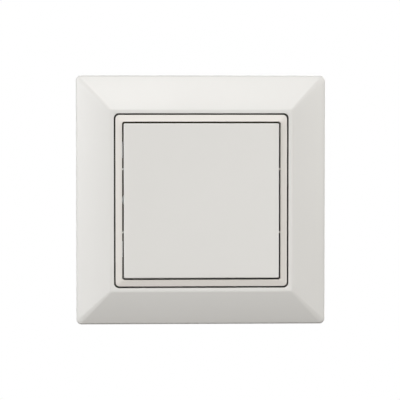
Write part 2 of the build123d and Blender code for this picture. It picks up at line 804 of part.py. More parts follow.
# Spreading claws: a domed washer that tips in the plate's hole, a screw and a toothed claw
dome_centre = plate_front + sqrt((dome_radius + running_gap / 2) ** 2 - claw_hole_radius ** 2)
washer_front = plate_front + washer_top
washer_hole_radius = claw_screw_radius + running_gap
washer_edge_radius = sqrt(dome_radius ** 2 - (dome_centre - washer_front) ** 2)
washer_back = dome_centre - sqrt(dome_radius ** 2 - washer_hole_radius ** 2)
dome_middle = (washer_back + washer_front) / 2
dome_middle_radius = sqrt(dome_radius ** 2 - (dome_centre - dome_middle) ** 2)
claw_inner_x = housing_width / 2 + loose_gap
claw_head_front = washer_front + claw_head_height
for name, side in (("left", -1), ("right", 1)):
    screw_x = side * claw_screw_x
    with BuildPart() as claw_washer:
        with BuildSketch(level_plane(0)):
            with BuildLine():
                Polyline(
                    (screw_x + washer_hole_radius, washer_back),
                    (screw_x + washer_hole_radius, washer_front),
                    (screw_x + washer_edge_radius, washer_front),
                )
                ThreePointArc(
                    (screw_x + washer_edge_radius, washer_front),
                    (screw_x + dome_middle_radius, dome_middle),
                    (screw_x + washer_hole_radius, washer_back),
                )
            make_face()
        revolve(axis=outward_axis(screw_x, 0))
    claw_washer.part.label = f"{name}_claw_washer"
    export_step(claw_washer.part, f"parts/{name}_claw_washer.step")

    with BuildPart() as claw_screw:
        with BuildSketch(front_plane(-claw_screw_end)):
            with Locations((screw_x, 0)):
                Circle(claw_screw_radius)
        extrude(amount=washer_front + claw_screw_end)
        with BuildSketch(front_plane(washer_front)):
            with Locations((screw_x, 0)):
                Circle(claw_head_radius)
        extrude(amount=claw_head_height)
        fillet(at_height(claw_screw, claw_head_front), radius=claw_head_height / 3)
        with BuildSketch(front_plane(claw_head_front - claw_slot_depth)):
            with Locations((screw_x, 0)):
                Rectangle(claw_slot_width, 2 * claw_head_radius)
        extrude(amount=claw_slot_depth, mode=Mode.SUBTRACT)
    claw_screw.part.label = f"{name}_claw_screw"
    export_step(claw_screw.part, f"parts/{name}_claw_screw.step")

    with BuildPart() as claw:
        with BuildSketch(front_plane(-claw_foot_back)):
            with Locations((side * (claw_inner_x + claw_outer_x) / 2, 0)):
                Rectangle(claw_outer_x - claw_inner_x, claw_width)
        extrude(amount=claw_foot_thickness)
        with BuildSketch(front_plane(-claw_foot_back)):
            with Locations((side * (claw_outer_x - claw_thickness / 2), 0)):
                Rectangle(claw_thickness, claw_width)
        extrude(amount=claw_foot_back - claw_front)
        with BuildSketch(front_plane(-claw_foot_back)):
            with Locations((screw_x, 0)):
                Circle(claw_screw_radius + running_gap)
        extrude(amount=claw_foot_thickness, mode=Mode.SUBTRACT)
        # Three pointed teeth, bent outward at the front end
        tooth_width = claw_width / 3
        with BuildSketch(front_plane(-claw_front - claw_thickness)):
            for tooth in (-1, 0, 1):
                with BuildLine():
                    Polyline(
                        (side * (claw_outer_x - claw_thickness / 2), (tooth - 0.5) * tooth_width),
                        (side * claw_outer_x, (tooth - 0.5) * tooth_width),
                        (side * (claw_outer_x + claw_tooth_length), tooth * tooth_width),
                        (side * claw_outer_x, (tooth + 0.5) * tooth_width),
                        (side * (claw_outer_x - claw_thickness / 2), (tooth + 0.5) * tooth_width),
                        close=True,
                    )
                make_face()
        extrude(amount=claw_thickness)
    claw.part.label = f"{name}_claw"
    export_step(claw.part, f"parts/{name}_claw.step")
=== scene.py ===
# %% [markdown]
# A flush wall switch, dressed on its finished frame
#
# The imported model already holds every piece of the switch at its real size: the sloped cover
# frame, the thin adapter ring, the big rocker, and behind them the insert with its steel plate,
# its claws and its terminals. This file gives those pieces their finish, adds the small forms
# that moulding and stamping leave behind, and sets up the light and the camera.

# %% Load the frame
import json
from math import radians, tan

import bpy
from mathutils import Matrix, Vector


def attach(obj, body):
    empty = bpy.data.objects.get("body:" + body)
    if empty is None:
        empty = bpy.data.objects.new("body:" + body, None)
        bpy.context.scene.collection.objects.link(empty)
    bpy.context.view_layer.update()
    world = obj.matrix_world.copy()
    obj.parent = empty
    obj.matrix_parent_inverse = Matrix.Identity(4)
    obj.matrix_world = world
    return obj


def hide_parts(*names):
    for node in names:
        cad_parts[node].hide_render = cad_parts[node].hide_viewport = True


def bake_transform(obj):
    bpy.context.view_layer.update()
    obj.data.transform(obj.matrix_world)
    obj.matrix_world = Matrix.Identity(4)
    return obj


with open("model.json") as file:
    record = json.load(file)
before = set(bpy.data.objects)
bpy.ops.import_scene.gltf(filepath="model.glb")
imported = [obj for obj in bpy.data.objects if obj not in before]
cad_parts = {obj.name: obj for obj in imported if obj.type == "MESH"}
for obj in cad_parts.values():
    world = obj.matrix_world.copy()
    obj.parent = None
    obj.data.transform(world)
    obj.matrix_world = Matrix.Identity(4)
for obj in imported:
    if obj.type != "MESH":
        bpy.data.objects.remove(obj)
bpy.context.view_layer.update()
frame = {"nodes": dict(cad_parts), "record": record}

nodes = frame["nodes"]
MM = 0.001


# %% [markdown]
# Colours are easiest to judge as the numbers of a screen, from 0 to 255, while a shader wants
# linear light. One small function turns the first into the second, so that each finish below can
# be written as the colour that it looks like.

# %% Colour helper
def screen_colour(red, green, blue):
    """A screen colour from 0 to 255 as linear light with full alpha."""
    channels = []
    for value in (red, green, blue):
        share = value / 255
        channels.append(share / 12.92 if share <= 0.04045 else ((share + 0.055) / 1.055) ** 2.4)
    return (*channels, 1.0)


print("a screen grey of 128 is", round(screen_colour(128, 128, 128)[0], 3), "in linear light")

# %% [markdown]
# The photograph looks almost straight at the switch. Its outline is a hair wider at the top than
# at the bottom and taller at the left than at the right, and the gaps sit a little low and to the
# right of the middle of the rim. So the camera stood about 0.7 metres away, two and a half degrees
# above the switch's axis and as much to its left. The frame is 80 mm wide and fills 249 of the
# picture's 400 pixels, which fixes the lens. The point looked at puts the outline where the
# photograph has it.

# %% Camera
PICTURE_WIDTH = 400
FRAME_PIXELS = 249.0
FRAME_SIDE = 80 * MM
SENSOR_WIDTH = 36.0
CAMERA_DISTANCE = 0.70
CAMERA_LEFT = 2.4
CAMERA_ABOVE = 2.7
LOOKED_AT = Vector((-0.25, -4.6, 0.03)) * MM

view_width = FRAME_SIDE * PICTURE_WIDTH / FRAME_PIXELS
camera_data = bpy.data.cameras.new("camera")
camera_data.sensor_width = SENSOR_WIDTH
camera_data.lens = SENSOR_WIDTH * CAMERA_DISTANCE / view_width
camera_data.clip_start = 0.01
camera = bpy.data.objects.new("camera", camera_data)
away = Vector((-tan(radians(CAMERA_LEFT)), -1, tan(radians(CAMERA_ABOVE)))).normalized()
camera.location = LOOKED_AT + CAMERA_DISTANCE * away
camera.rotation_euler = (-away).to_track_quat("-Z", "Y").to_euler()
bpy.context.collection.objects.link(camera)
bpy.context.scene.camera = camera
print("lens", round(camera_data.lens, 1), "mm, view", round(view_width / MM, 1), "mm wide")

# %% [markdown]
# The picture has no wall and no shadow, only white. The world is therefore white to the camera
# and to mirrors, and a soft grey to everything else. Light Path tells the two kinds of ray apart,
# so that a white background doesn't flood the switch with light.

# %% World
WORLD_LIGHT = 0.10

world = bpy.data.worlds.new("studio_white")
bpy.context.scene.world = world
world.use_nodes = True
world_tree = world.node_tree
world_tree.nodes.clear()


def seen_or_mirrored(tree):
    """A value that is 1 for what the camera, a mirror or glass sees, and 0 for spread light."""
    path = tree.nodes.new("ShaderNodeLightPath")
    value = path.outputs["Is Camera Ray"]
    for ray in ("Is Glossy Ray", "Is Transmission Ray"):
        either = tree.nodes.new("ShaderNodeMath")
        either.operation = "MAXIMUM"
        tree.links.new(value, either.inputs[0])
        tree.links.new(path.outputs[ray], either.inputs[1])
        value = either.outputs[0]
    return value


soft = world_tree.nodes.new("ShaderNodeBackground")
soft.inputs["Color"].default_value = (1, 1, 1, 1)
soft.inputs["Strength"].default_value = WORLD_LIGHT
white = world_tree.nodes.new("ShaderNodeBackground")
white.inputs["Color"].default_value = (1, 1, 1, 1)
white.inputs["Strength"].default_value = 1.0
chosen = world_tree.nodes.new("ShaderNodeMixShader")
world_end = world_tree.nodes.new("ShaderNodeOutputWorld")
world_tree.links.new(seen_or_mirrored(world_tree), chosen.inputs[0])
world_tree.links.new(soft.outputs[0], chosen.inputs[1])
world_tree.links.new(white.outputs[0], chosen.inputs[2])
world_tree.links.new(chosen.outputs[0], world_end.inputs[0])
print("world: white to the camera,", WORLD_LIGHT, "to everything else")

# %% [markdown]
# A pale floor lies below the switch and catches its shadow when the switch is seen from above.
# Part of its paleness is a glow that only the camera and mirrors see. The glow grows outwards
# until the floor is as white as the world, so that no horizon shows. The light that the floor
# throws back up is held down and a little warm, because the frame's lower slope is the darkest
# and warmest one.

# %% Floor
FLOOR_DROP = 0.20
FLOOR_RADIUS = 1.4
FLOOR_GLOW = 0.6
FADE_START = 0.2
FADE_END = 0.9
FLOOR_BOUNCE = screen_colour(60, 52, 42)
FLOOR_SEEN = screen_colour(236, 236, 234)

bpy.ops.object.select_all(action="DESELECT")
bpy.ops.mesh.primitive_circle_add(
    vertices=96, radius=FLOOR_RADIUS, fill_type="NGON", location=(0, 0, -FLOOR_DROP)
)
floor = bpy.context.active_object
floor.name = "floor"
floor_material = bpy.data.materials.new("pale_floor")
floor_material.use_nodes = True
floor_tree = floor_material.node_tree
floor_shader = floor_tree.nodes["Principled BSDF"]
floor_shader.inputs["Roughness"].default_value = 0.9
floor_colour = floor_tree.nodes.new("ShaderNodeMix")
floor_colour.data_type = "RGBA"
floor_colour.inputs["A"].default_value = FLOOR_BOUNCE
floor_colour.inputs["B"].default_value = FLOOR_SEEN
seen = seen_or_mirrored(floor_tree)
glow = floor_tree.nodes.new("ShaderNodeEmission")
glow.inputs["Color"].default_value = (1, 1, 1, 1)
glow.inputs["Strength"].default_value = 1.0
floor_place = floor_tree.nodes.new("ShaderNodeTexCoord")
distance = floor_tree.nodes.new("ShaderNodeVectorMath")
distance.operation = "LENGTH"
fade = floor_tree.nodes.new("ShaderNodeMapRange")
fade.interpolation_type = "SMOOTHSTEP"
fade.inputs["From Min"].default_value = FADE_START
fade.inputs["From Max"].default_value = FADE_END
fade.inputs["To Min"].default_value = FLOOR_GLOW
fade.inputs["To Max"].default_value = 1.0
share = floor_tree.nodes.new("ShaderNodeMath")
share.operation = "MULTIPLY"
floor_tree.links.new(floor_place.outputs["Object"], distance.inputs[0])
floor_tree.links.new(distance.outputs["Value"], fade.inputs["Value"])
floor_tree.links.new(fade.outputs["Result"], share.inputs[1])
lifted = floor_tree.nodes.new("ShaderNodeMixShader")
floor_end = floor_tree.nodes["Material Output"]
floor_tree.links.new(seen, floor_colour.inputs["Factor"])
floor_tree.links.new(floor_colour.outputs["Result"], floor_shader.inputs["Base Color"])
floor_tree.links.new(seen, share.inputs[0])
floor_tree.links.new(share.outputs[0], lifted.inputs[0])
floor_tree.links.new(floor_shader.outputs[0], lifted.inputs[1])
floor_tree.links.new(glow.outputs[0], lifted.inputs[2])
floor_tree.links.new(lifted.outputs[0], floor_end.inputs["Surface"])
floor.data.materials.append(floor_material)
print("floor", round(FLOOR_RADIUS * 2, 1), "m across")

# %% [markdown]
# The frame's four sloped faces are the best light meter in the picture. The top one is brightest,
# then the left, then the right, and the bottom one is darkest. So one soft light stands above, and
# one at each side, the left one stronger than the right, and none stands below. A small weak one
# in front lifts the lower slope a little, and one behind the switch shows its insert.

# %% Lights
LIGHTS = (
    # name, place, size, spread in degrees, power and colour
    ("light_above", (-0.27, -2.56, 2.52), 1.4, 60, 4.65, (1.0, 1.0, 1.0)),
    ("light_left", (-2.85, -1.70, 0.70), 1.2, 60, 9.2, (1.0, 1.0, 1.0)),
    ("light_right", (2.85, -1.70, 0.70), 1.2, 60, 6.5, (1.0, 0.985, 0.955)),
    ("light_front", (0.50, -2.00, -0.02), 0.5, 60, 0.25, (1.0, 0.98, 0.94)),
    ("light_behind", (0.50, 1.20, 0.40), 0.8, 60, 2.2, (1.0, 1.0, 1.0)),
)


def soft_light(name, place, size, spread, power, colour):
    """A square area light that looks at the middle of the switch, with a grid on its front."""
    data = bpy.data.lights.new(name, "AREA")
    data.shape = "SQUARE"
    data.size = size
    data.spread = radians(spread)
    data.energy = power
    data.color = colour
    lamp = bpy.data.objects.new(name, data)
    lamp.location = place
    lamp.rotation_euler = (-Vector(place)).to_track_quat("-Z", "Y").to_euler()
    bpy.context.collection.objects.link(lamp)


for light in LIGHTS:
    soft_light(*light)
print(len(LIGHTS), "soft lights")


# %% [markdown]
# Several finishes share the same small effects: a slow cloudiness that keeps a plain face from
# looking printed, the fine grain that an eroded mould leaves, and the straight lines of rolled or
# drawn metal. A fourth effect finds the narrow gaps round the ring and the rocker. Each is a node
# group with named inputs, built once. A group gives only a value, which the material then mixes
# into its colour, its roughness or its bump.

# %% Shared node groups
def start_group(name, inputs):
    """An empty group with a Vector input, the named value inputs and one Value output."""
    group = bpy.data.node_groups.new(name, "ShaderNodeTree")
    group.interface.new_socket("Vector", in_out="INPUT", socket_type="NodeSocketVector")
    for label, value in inputs:
        socket = group.interface.new_socket(label, in_out="INPUT", socket_type="NodeSocketFloat")
        socket.default_value = value
    group.interface.new_socket("Value", in_out="OUTPUT", socket_type="NodeSocketFloat")
    return group, group.nodes.new("NodeGroupInput"), group.nodes.new("NodeGroupOutput")


def cloud_group():
    """Slow soft patches: Scale is patches per metre, and the value stays between 0 and 1."""
    group, start, end = start_group("soft_clouds", (("Scale", 60.0), ("Roughness", 0.55)))
    noise = group.nodes.new("ShaderNodeTexNoise")
    noise.inputs["Detail"].default_value = 3.0
    group.links.new(start.outputs["Vector"], noise.inputs["Vector"])
    group.links.new(start.outputs["Scale"], noise.inputs["Scale"])
    group.links.new(start.outputs["Roughness"], noise.inputs["Roughness"])
    group.links.new(noise.outputs["Fac"], end.inputs["Value"])
    return group


def grain_group():
    """The skin of an eroded mould: small rounded pits over a still finer noise."""
    group, start, end = start_group("mould_grain", (("Scale", 4000.0), ("Fine", 0.4)))
    pits = group.nodes.new("ShaderNodeTexVoronoi")
    pits.feature = "SMOOTH_F1"
    fine = group.nodes.new("ShaderNodeTexNoise")
    fine.inputs["Detail"].default_value = 2.0
    finer = group.nodes.new("ShaderNodeMath")
    finer.operation = "MULTIPLY"
    finer.inputs[1].default_value = 2.0
    mix = group.nodes.new("ShaderNodeMix")
    group.links.new(start.outputs["Vector"], pits.inputs["Vector"])
    group.links.new(start.outputs["Vector"], fine.inputs["Vector"])
    group.links.new(start.outputs["Scale"], pits.inputs["Scale"])
    group.links.new(start.outputs["Scale"], finer.inputs[0])
    group.links.new(finer.outputs[0], fine.inputs["Scale"])
    group.links.new(start.outputs["Fine"], mix.inputs["Factor"])
    group.links.new(pits.outputs["Distance"], mix.inputs["A"])
    group.links.new(fine.outputs["Fac"], mix.inputs["B"])
    group.links.new(mix.outputs["Result"], end.inputs["Value"])
    return group


def line_group():
    """Fine parallel lines, which run along the axis whose Along value is the smallest."""
    group, start, end = start_group(
        "rolled_lines", (("Scale", 2500.0), ("Along X", 1.0), ("Along Y", 1.0), ("Along Z", 0.03))
    )
    stretch = group.nodes.new("ShaderNodeCombineXYZ")
    scaled = group.nodes.new("ShaderNodeVectorMath")
    scaled.operation = "MULTIPLY"
    noise = group.nodes.new("ShaderNodeTexNoise")
    noise.inputs["Detail"].default_value = 4.0
    for axis in "XYZ":
        group.links.new(start.outputs[f"Along {axis}"], stretch.inputs[axis])
    group.links.new(start.outputs["Vector"], scaled.inputs[0])
    group.links.new(stretch.outputs[0], scaled.inputs[1])
    group.links.new(scaled.outputs[0], noise.inputs["Vector"])
    group.links.new(start.outputs["Scale"], noise.inputs["Scale"])
    group.links.new(noise.outputs["Fac"], end.inputs["Value"])
    return group


def gap_group():
    """The value is 1 deep in the gaps round ring and rocker and 0 on every open face.

    Near and Far are half widths, Low and Top are heights above the wall, all in metres.
    """
    group, start, end = start_group("gap_shade", (
        ("Near", 25.1 * MM), ("Far", 27.95 * MM), ("Low", 2.2 * MM), ("Top", 9.0 * MM)
    ))
    parts = group.nodes.new("ShaderNodeSeparateXYZ")
    group.links.new(start.outputs["Vector"], parts.inputs[0])

    def worked(way, first, second):
        """What one sum makes of two values, each a number or a node's output."""
        node = group.nodes.new("ShaderNodeMath")
        node.operation = way
        for socket, value in zip(node.inputs, (first, second)):
            if isinstance(value, float):
                socket.default_value = value
            else:
                group.links.new(value, socket)
        return node.outputs[0]

    def faded(value, low, high):
        """0 below the first value, 1 above the second, and a ramp between them."""
        node = group.nodes.new("ShaderNodeMapRange")
        group.links.new(value, node.inputs["Value"])
        group.links.new(low, node.inputs["From Min"])
        group.links.new(high, node.inputs["From Max"])
        return node.outputs["Result"]

    reach = worked(
        "MAXIMUM",
        worked("ABSOLUTE", parts.outputs["X"], 0.0),
        worked("ABSOLUTE", parts.outputs["Z"], 0.0),
    )
    height = worked("MULTIPLY", parts.outputs["Y"], -1.0)
    fade = 0.35 * MM
    deep = faded(height, start.outputs["Top"], worked("SUBTRACT", start.outputs["Top"], fade))
    low = faded(height, start.outputs["Low"], worked("ADD", start.outputs["Low"], fade))
    outer = worked("GREATER_THAN", reach, start.outputs["Near"])
    inner = worked("LESS_THAN", reach, start.outputs["Far"])
    both = worked("MULTIPLY", worked("MULTIPLY", deep, low), worked("MULTIPLY", outer, inner))
    group.links.new(both, end.inputs["Value"])
    return group


groups = {
    "clouds": cloud_group(), "grain": grain_group(), "lines": line_group(), "gap": gap_group()
}
print("groups:", ", ".join(sorted(groups)))


# %% [markdown]
# A material below is always built in the same order: the shader, the piece's own coordinates, a
# pair of near colours that a slow pattern mixes, a roughness that moves a little round its mean,
# and a bump. The helper keeps these steps in one place, and each finish gives its own numbers.

# %% Material helper
def finish(name, light, dark, roughness, spread, metallic=0.0, pattern="clouds", settings=None,
           bump="grain", bump_settings=None, depth=0.004 * MM, strength=0.3):
    """A finish whose colour and roughness follow one pattern and whose bump follows another."""
    material = bpy.data.materials.new(name)
    material.use_nodes = True
    made = material.node_tree
    shader = made.nodes["Principled BSDF"]
    shader.inputs["Metallic"].default_value = metallic
    place = made.nodes.new("ShaderNodeTexCoord")

    pattern_node = made.nodes.new("ShaderNodeGroup")
    pattern_node.node_tree = groups[pattern]
    for label, value in (settings or {}).items():
        pattern_node.inputs[label].default_value = value
    colour = made.nodes.new("ShaderNodeMix")
    colour.data_type = "RGBA"
    colour.inputs["A"].default_value = dark
    colour.inputs["B"].default_value = light
    rough = made.nodes.new("ShaderNodeMapRange")
    rough.inputs["To Min"].default_value = roughness + spread
    rough.inputs["To Max"].default_value = roughness - spread

    bump_node = made.nodes.new("ShaderNodeGroup")
    bump_node.node_tree = groups[bump]
    for label, value in (bump_settings or {}).items():
        bump_node.inputs[label].default_value = value
    relief = made.nodes.new("ShaderNodeBump")
    relief.inputs["Distance"].default_value = depth
    relief.inputs["Strength"].default_value = strength

    for node in (pattern_node, bump_node):
        made.links.new(place.outputs["Object"], node.inputs["Vector"])
    made.links.new(pattern_node.outputs["Value"], colour.inputs["Factor"])
    made.links.new(pattern_node.outputs["Value"], rough.inputs["Value"])
    made.links.new(colour.outputs["Result"], shader.inputs["Base Color"])
    made.links.new(rough.outputs["Result"], shader.inputs["Roughness"])
    made.links.new(bump_node.outputs["Value"], relief.inputs["Height"])
    made.links.new(relief.outputs["Normal"], shader.inputs["Normal"])
    return material


# %% [markdown]
# The three pieces that show are moulded in a satin, nearly neutral white. The ring is from
# another batch of plastic and is a little warmer. The insert is dark grey and duller, because
# nobody sees it once it is in the wall.

# %% Plastics
plastics = {
    "frame_plastic": finish(
        "frame_white", screen_colour(229, 228, 225), screen_colour(226, 225, 222), 0.36, 0.03,
        settings={"Scale": 45.0}, strength=0.15,
    ),
    "rocker_plastic": finish(
        "rocker_white", screen_colour(229, 228, 225), screen_colour(226, 225, 222), 0.33, 0.03,
        settings={"Scale": 45.0}, strength=0.12,
    ),
    "ring_plastic": finish(
        "ring_white", screen_colour(232, 228, 223), screen_colour(229, 225, 219), 0.38, 0.03,
        settings={"Scale": 60.0}, strength=0.15,
    ),
    "cradle_plastic": finish(
        "natural_white", screen_colour(226, 225, 219), screen_colour(219, 217, 210), 0.5, 0.05,
        settings={"Scale": 90.0},
    ),
    "plunger_plastic": finish(
        "slippery_white", screen_colour(234, 232, 222), screen_colour(226, 223, 211), 0.35, 0.05,
        settings={"Scale": 200.0},
    ),
    "lid_plastic": finish(
        "lid_grey", screen_colour(122, 125, 128), screen_colour(110, 113, 116), 0.55, 0.05,
        settings={"Scale": 80.0}, strength=0.5,
    ),
    "housing_plastic": finish(
        "housing_grey", screen_colour(96, 99, 102), screen_colour(84, 87, 90), 0.58, 0.06,
        settings={"Scale": 70.0}, strength=0.6, depth=0.01 * MM, bump_settings={"Scale": 3000.0},
    ),
    "release_plastic": finish(
        "release_orange", screen_colour(222, 112, 42), screen_colour(208, 98, 34), 0.45, 0.05,
        settings={"Scale": 250.0},
    ),
}
print(len(plastics), "plastics")

# %% [markdown]
# The metals differ in how they were worked. The plate is rolled sheet with bright zinc on it, the
# contacts are rolled brass, the springs are drawn wire, and the contact tips are plain silver.

# %% Metals
metals = {
    "plate_steel": finish(
        "zinc_sheet", screen_colour(206, 209, 212), screen_colour(178, 182, 187), 0.34, 0.08,
        metallic=1.0, settings={"Scale": 150.0}, bump="lines", depth=0.004 * MM, strength=0.35,
    ),
    "screw_steel": finish(
        "zinc_screw", screen_colour(212, 213, 212), screen_colour(182, 184, 186), 0.30, 0.06,
        metallic=1.0, settings={"Scale": 500.0}, depth=0.002 * MM,
    ),
    "claw_steel": finish(
        "zinc_claw", screen_colour(200, 203, 205), screen_colour(168, 172, 176), 0.38, 0.08,
        metallic=1.0, settings={"Scale": 400.0}, bump="lines", depth=0.004 * MM,
    ),
    "spring_steel": finish(
        "drawn_wire", screen_colour(186, 188, 190), screen_colour(150, 152, 156), 0.28, 0.06,
        metallic=1.0, settings={"Scale": 900.0}, depth=0.002 * MM,
    ),
    "clamp_steel": finish(
        "spring_strip", screen_colour(190, 192, 194), screen_colour(158, 161, 165), 0.28, 0.06,
        metallic=1.0, settings={"Scale": 500.0}, bump="lines", depth=0.002 * MM,
    ),
    "contact_brass": finish(
        "rolled_brass", screen_colour(214, 182, 104), screen_colour(190, 152, 78), 0.30, 0.07,
        metallic=1.0, settings={"Scale": 300.0}, bump="lines", depth=0.003 * MM,
    ),
    "contact_silver": finish(
        "silver_tip", screen_colour(232, 231, 226), screen_colour(206, 205, 200), 0.24, 0.05,
        metallic=1.0, settings={"Scale": 900.0}, depth=0.002 * MM,
    ),
}
finishes = {**plastics, **metals}
print(len(metals), "metals")

# %% [markdown]
# The narrow gaps round the ring and the rocker should look brown-grey, much darker than white
# plastic makes them, because little light gets in. That shade is painted: a mask by height and by
# distance from the middle mixes a dark brown-grey into the colour of the walls inside the gaps and
# of the strip of steel at the bottom of the inner one, and leaves every open face alone.

# %% Painted shade in the gaps
def shade_gaps(material, colour, settings):
    """Mix a painted shade colour into a finish where the gap mask is 1."""
    made = material.node_tree
    shader = made.nodes["Principled BSDF"]
    under = shader.inputs["Base Color"].links[0].from_socket
    place = made.nodes.new("ShaderNodeTexCoord")
    mask = made.nodes.new("ShaderNodeGroup")
    mask.node_tree = groups["gap"]
    for label, value in settings.items():
        mask.inputs[label].default_value = value
    # painted shade: the gap mask mixes a dark colour into the base colour
    painted_shade = made.nodes.new("ShaderNodeMix")
    painted_shade.data_type = "RGBA"
    painted_shade.inputs["B"].default_value = colour
    made.links.new(place.outputs["Object"], mask.inputs["Vector"])
    made.links.new(mask.outputs["Value"], painted_shade.inputs["Factor"])
    made.links.new(under, painted_shade.inputs["A"])
    made.links.new(painted_shade.outputs["Result"], shader.inputs["Base Color"])


# painted shade colour for the walls inside the gaps, standing in for the little light that reaches
# them
PAINTED_GAP_SHADE = screen_colour(74, 68, 54)
shade_gaps(finishes["frame_plastic"], PAINTED_GAP_SHADE, {"Top": 9.08 * MM})
shade_gaps(finishes["ring_plastic"], PAINTED_GAP_SHADE, {"Top": 8.9 * MM})
shade_gaps(finishes["ring_plastic"], PAINTED_GAP_SHADE, {"Top": 9.45 * MM, "Far": 25.35 * MM})
shade_gaps(finishes["rocker_plastic"], PAINTED_GAP_SHADE, {"Top": 9.2 * MM, "Near": 24.5 * MM})
shade_gaps(
    finishes["plate_steel"], PAINTED_GAP_SHADE,
    {"Top": 2.0 * MM, "Low": 0.3 * MM, "Near": 24.3 * MM, "Far": 26.5 * MM},
)
print("gaps shaded")

# %% [markdown]
# The record names the finish of every node. Each node's slots take the material made for it.

# %% Dress the nodes
for subpart in frame["record"]["subparts"]:
    node = nodes[subpart["node"]]
    node.data.materials.clear()
    node.data.materials.append(finishes[subpart["material_slot"]])
print("dressed", len(nodes), "nodes")

# %% [markdown]
# The frame, the ring and the rocker are what the picture shows, so they are modelled again with
# the small softness of moulded edges. An operator in edit mode acts on all that is selected, and
# there is no mouse here to pick with. So each step first selects its vertices, edges or faces by
# their place or their normal, which also holds when a size changes.

# %% Selection helpers
def deselect():
    """Leave no object selected."""
    bpy.ops.object.select_all(action="DESELECT")


def edit(piece):
    """Enter edit mode on one piece with nothing selected in it."""
    deselect()
    bpy.context.view_layer.objects.active = piece
    piece.select_set(True)
    bpy.ops.object.mode_set(mode="EDIT")
    bpy.ops.mesh.select_mode(type="VERT")
    bpy.ops.mesh.select_all(action="DESELECT")


def edit_all(piece):
    """Enter edit mode on one piece with all of it selected."""
    edit(piece)
    bpy.ops.mesh.select_all(action="SELECT")


def done():
    """Leave edit mode."""
    bpy.ops.object.mode_set(mode="OBJECT")


def choose(piece, kind, wanted):
    """Enter edit mode with the vertices, edges or faces selected for which a test is true.

    The test gets the item and its middle in millimetres.
    """
    edit(piece)
    bpy.ops.mesh.select_mode(type=kind)
    done()
    mesh = piece.data
    for item in {"VERT": mesh.vertices, "EDGE": mesh.edges, "FACE": mesh.polygons}[kind]:
        corners = [item.co] if kind == "VERT" else [mesh.vertices[i].co for i in item.vertices]
        item.select = bool(wanted(item, sum(corners, Vector()) / len(corners) / MM))
    bpy.ops.object.mode_set(mode="EDIT")


def bevelled(piece, width, steps, wanted):
    """Round the edges for which a test is true, by a width in millimetres."""
    choose(piece, "EDGE", wanted)
    bpy.ops.mesh.bevel(offset=width * MM, segments=steps, affect="EDGES")
    done()


def outward(piece):
    """Turn all faces of a closed piece to its outside."""
    edit_all(piece)
    bpy.ops.mesh.normals_make_consistent(inside=False)
    done()


# %% [markdown]
# The frame and the ring are stacks of rounded squares that share one middle. A plane whose corners
# are bevelled and whose face is deleted gives such a square, and the squares are then bridged pair
# by pair. Bridging keeps each corner's own radius, which scaling one extruded outline would not.

# %% Rounded squares
CORNER_STEPS = 6
STACK_STEP = 20


def rounded_square(half, radius, height):
    """A closed outline parallel to the wall, all three values in millimetres."""
    deselect()
    bpy.ops.mesh.primitive_plane_add(
        size=2 * half * MM, location=(0, -height * MM, 0), rotation=(radians(90), 0, 0)
    )
    bpy.ops.object.transform_apply()
    outline = bpy.context.active_object
    bpy.ops.object.mode_set(mode="EDIT")
    bpy.ops.mesh.select_all(action="SELECT")
    bpy.ops.mesh.bevel(offset=radius * MM, segments=CORNER_STEPS, affect="VERTICES")
    bpy.ops.mesh.select_all(action="SELECT")
    bpy.ops.mesh.delete(type="ONLY_FACE")
    done()
    return outline


def joined(name, parts):
    """One object made of several, under a new name."""
    deselect()
    for part in parts:
        part.select_set(True)
    bpy.context.view_layer.objects.active = parts[0]
    if len(parts) > 1:
        bpy.ops.object.join()
    whole = bpy.context.active_object
    whole.name = name
    whole.data.name = name
    return whole


def bridged(name, sections):
    """A closed ring-shaped skin through rounded squares of half width, radius and height.

    They are bridged while they stand far apart, like a stack of trays, because bridging can
    twist a pair that lies in one plane. Then each is moved to its own height.
    """
    outlines = [
        rounded_square(half, radius, STACK_STEP * level)
        for level, (half, radius, height) in enumerate(sections)
    ]
    count = len(outlines[0].data.vertices)
    skin = joined(name, outlines)
    for first in range(len(sections)):
        pair = (first, (first + 1) % len(sections))
        choose(skin, "EDGE", lambda edge, middle: any(
            {vertex // count for vertex in edge.vertices} == {level} for level in pair
        ))
        bpy.ops.mesh.bridge_edge_loops()
        done()
    for level, (half, radius, height) in enumerate(sections):
        choose(skin, "VERT", lambda vertex, middle: vertex.index // count == level)
        bpy.ops.transform.translate(value=(0, (STACK_STEP * level - height) * MM, 0))
        done()
    outward(skin)
    return skin


def soften(piece, half, height, width, steps=3):
    """Bevel the outline that lies at a half width and a height, in millimetres."""
    def on_outline(edge, middle):
        ends = [piece.data.vertices[i].co / MM for i in edge.vertices]
        reach = [max(abs(end.x), abs(end.z)) for end in ends]
        return all(abs(end.y + height) < 0.01 for end in ends) and all(
            half - 0.7 < value < half + 0.01 for value in reach
        )

    bevelled(piece, width, steps, on_outline)


# %% [markdown]
# Ribs, hooks, notches and slots are blocks that are fused to a piece or cut out of it. The exact
# boolean solver does both, because it also copes with faces that lie in one plane. Shading comes
# last: smooth, but with creases, so that flat faces stay flat.

# %% Blocks, cuts and shading
def block(low, high):
    """A box between two corners in millimetres, given as across, height and up."""
    deselect()
    middle = [(a + b) / 2 for a, b in zip(low, high)]
    size = [abs(b - a) for a, b in zip(low, high)]
    across, height, up = middle
    bpy.ops.mesh.primitive_cube_add(size=1, location=(across * MM, -height * MM, up * MM))
    box = bpy.context.active_object
    box.scale = [length * MM for length in size]
    bpy.ops.object.transform_apply()
    return box


def combined(piece, tool, way):
    """Cut the tool out of the piece or fuse it on, and delete the tool."""
    outward(tool)
    deselect()
    bpy.context.view_layer.objects.active = piece
    piece.select_set(True)
    joiner = piece.modifiers.new("joiner", "BOOLEAN")
    joiner.operation = way
    joiner.solver = "EXACT"
    joiner.object = tool
    bpy.ops.object.modifier_apply(modifier="joiner")
    bpy.data.objects.remove(tool)


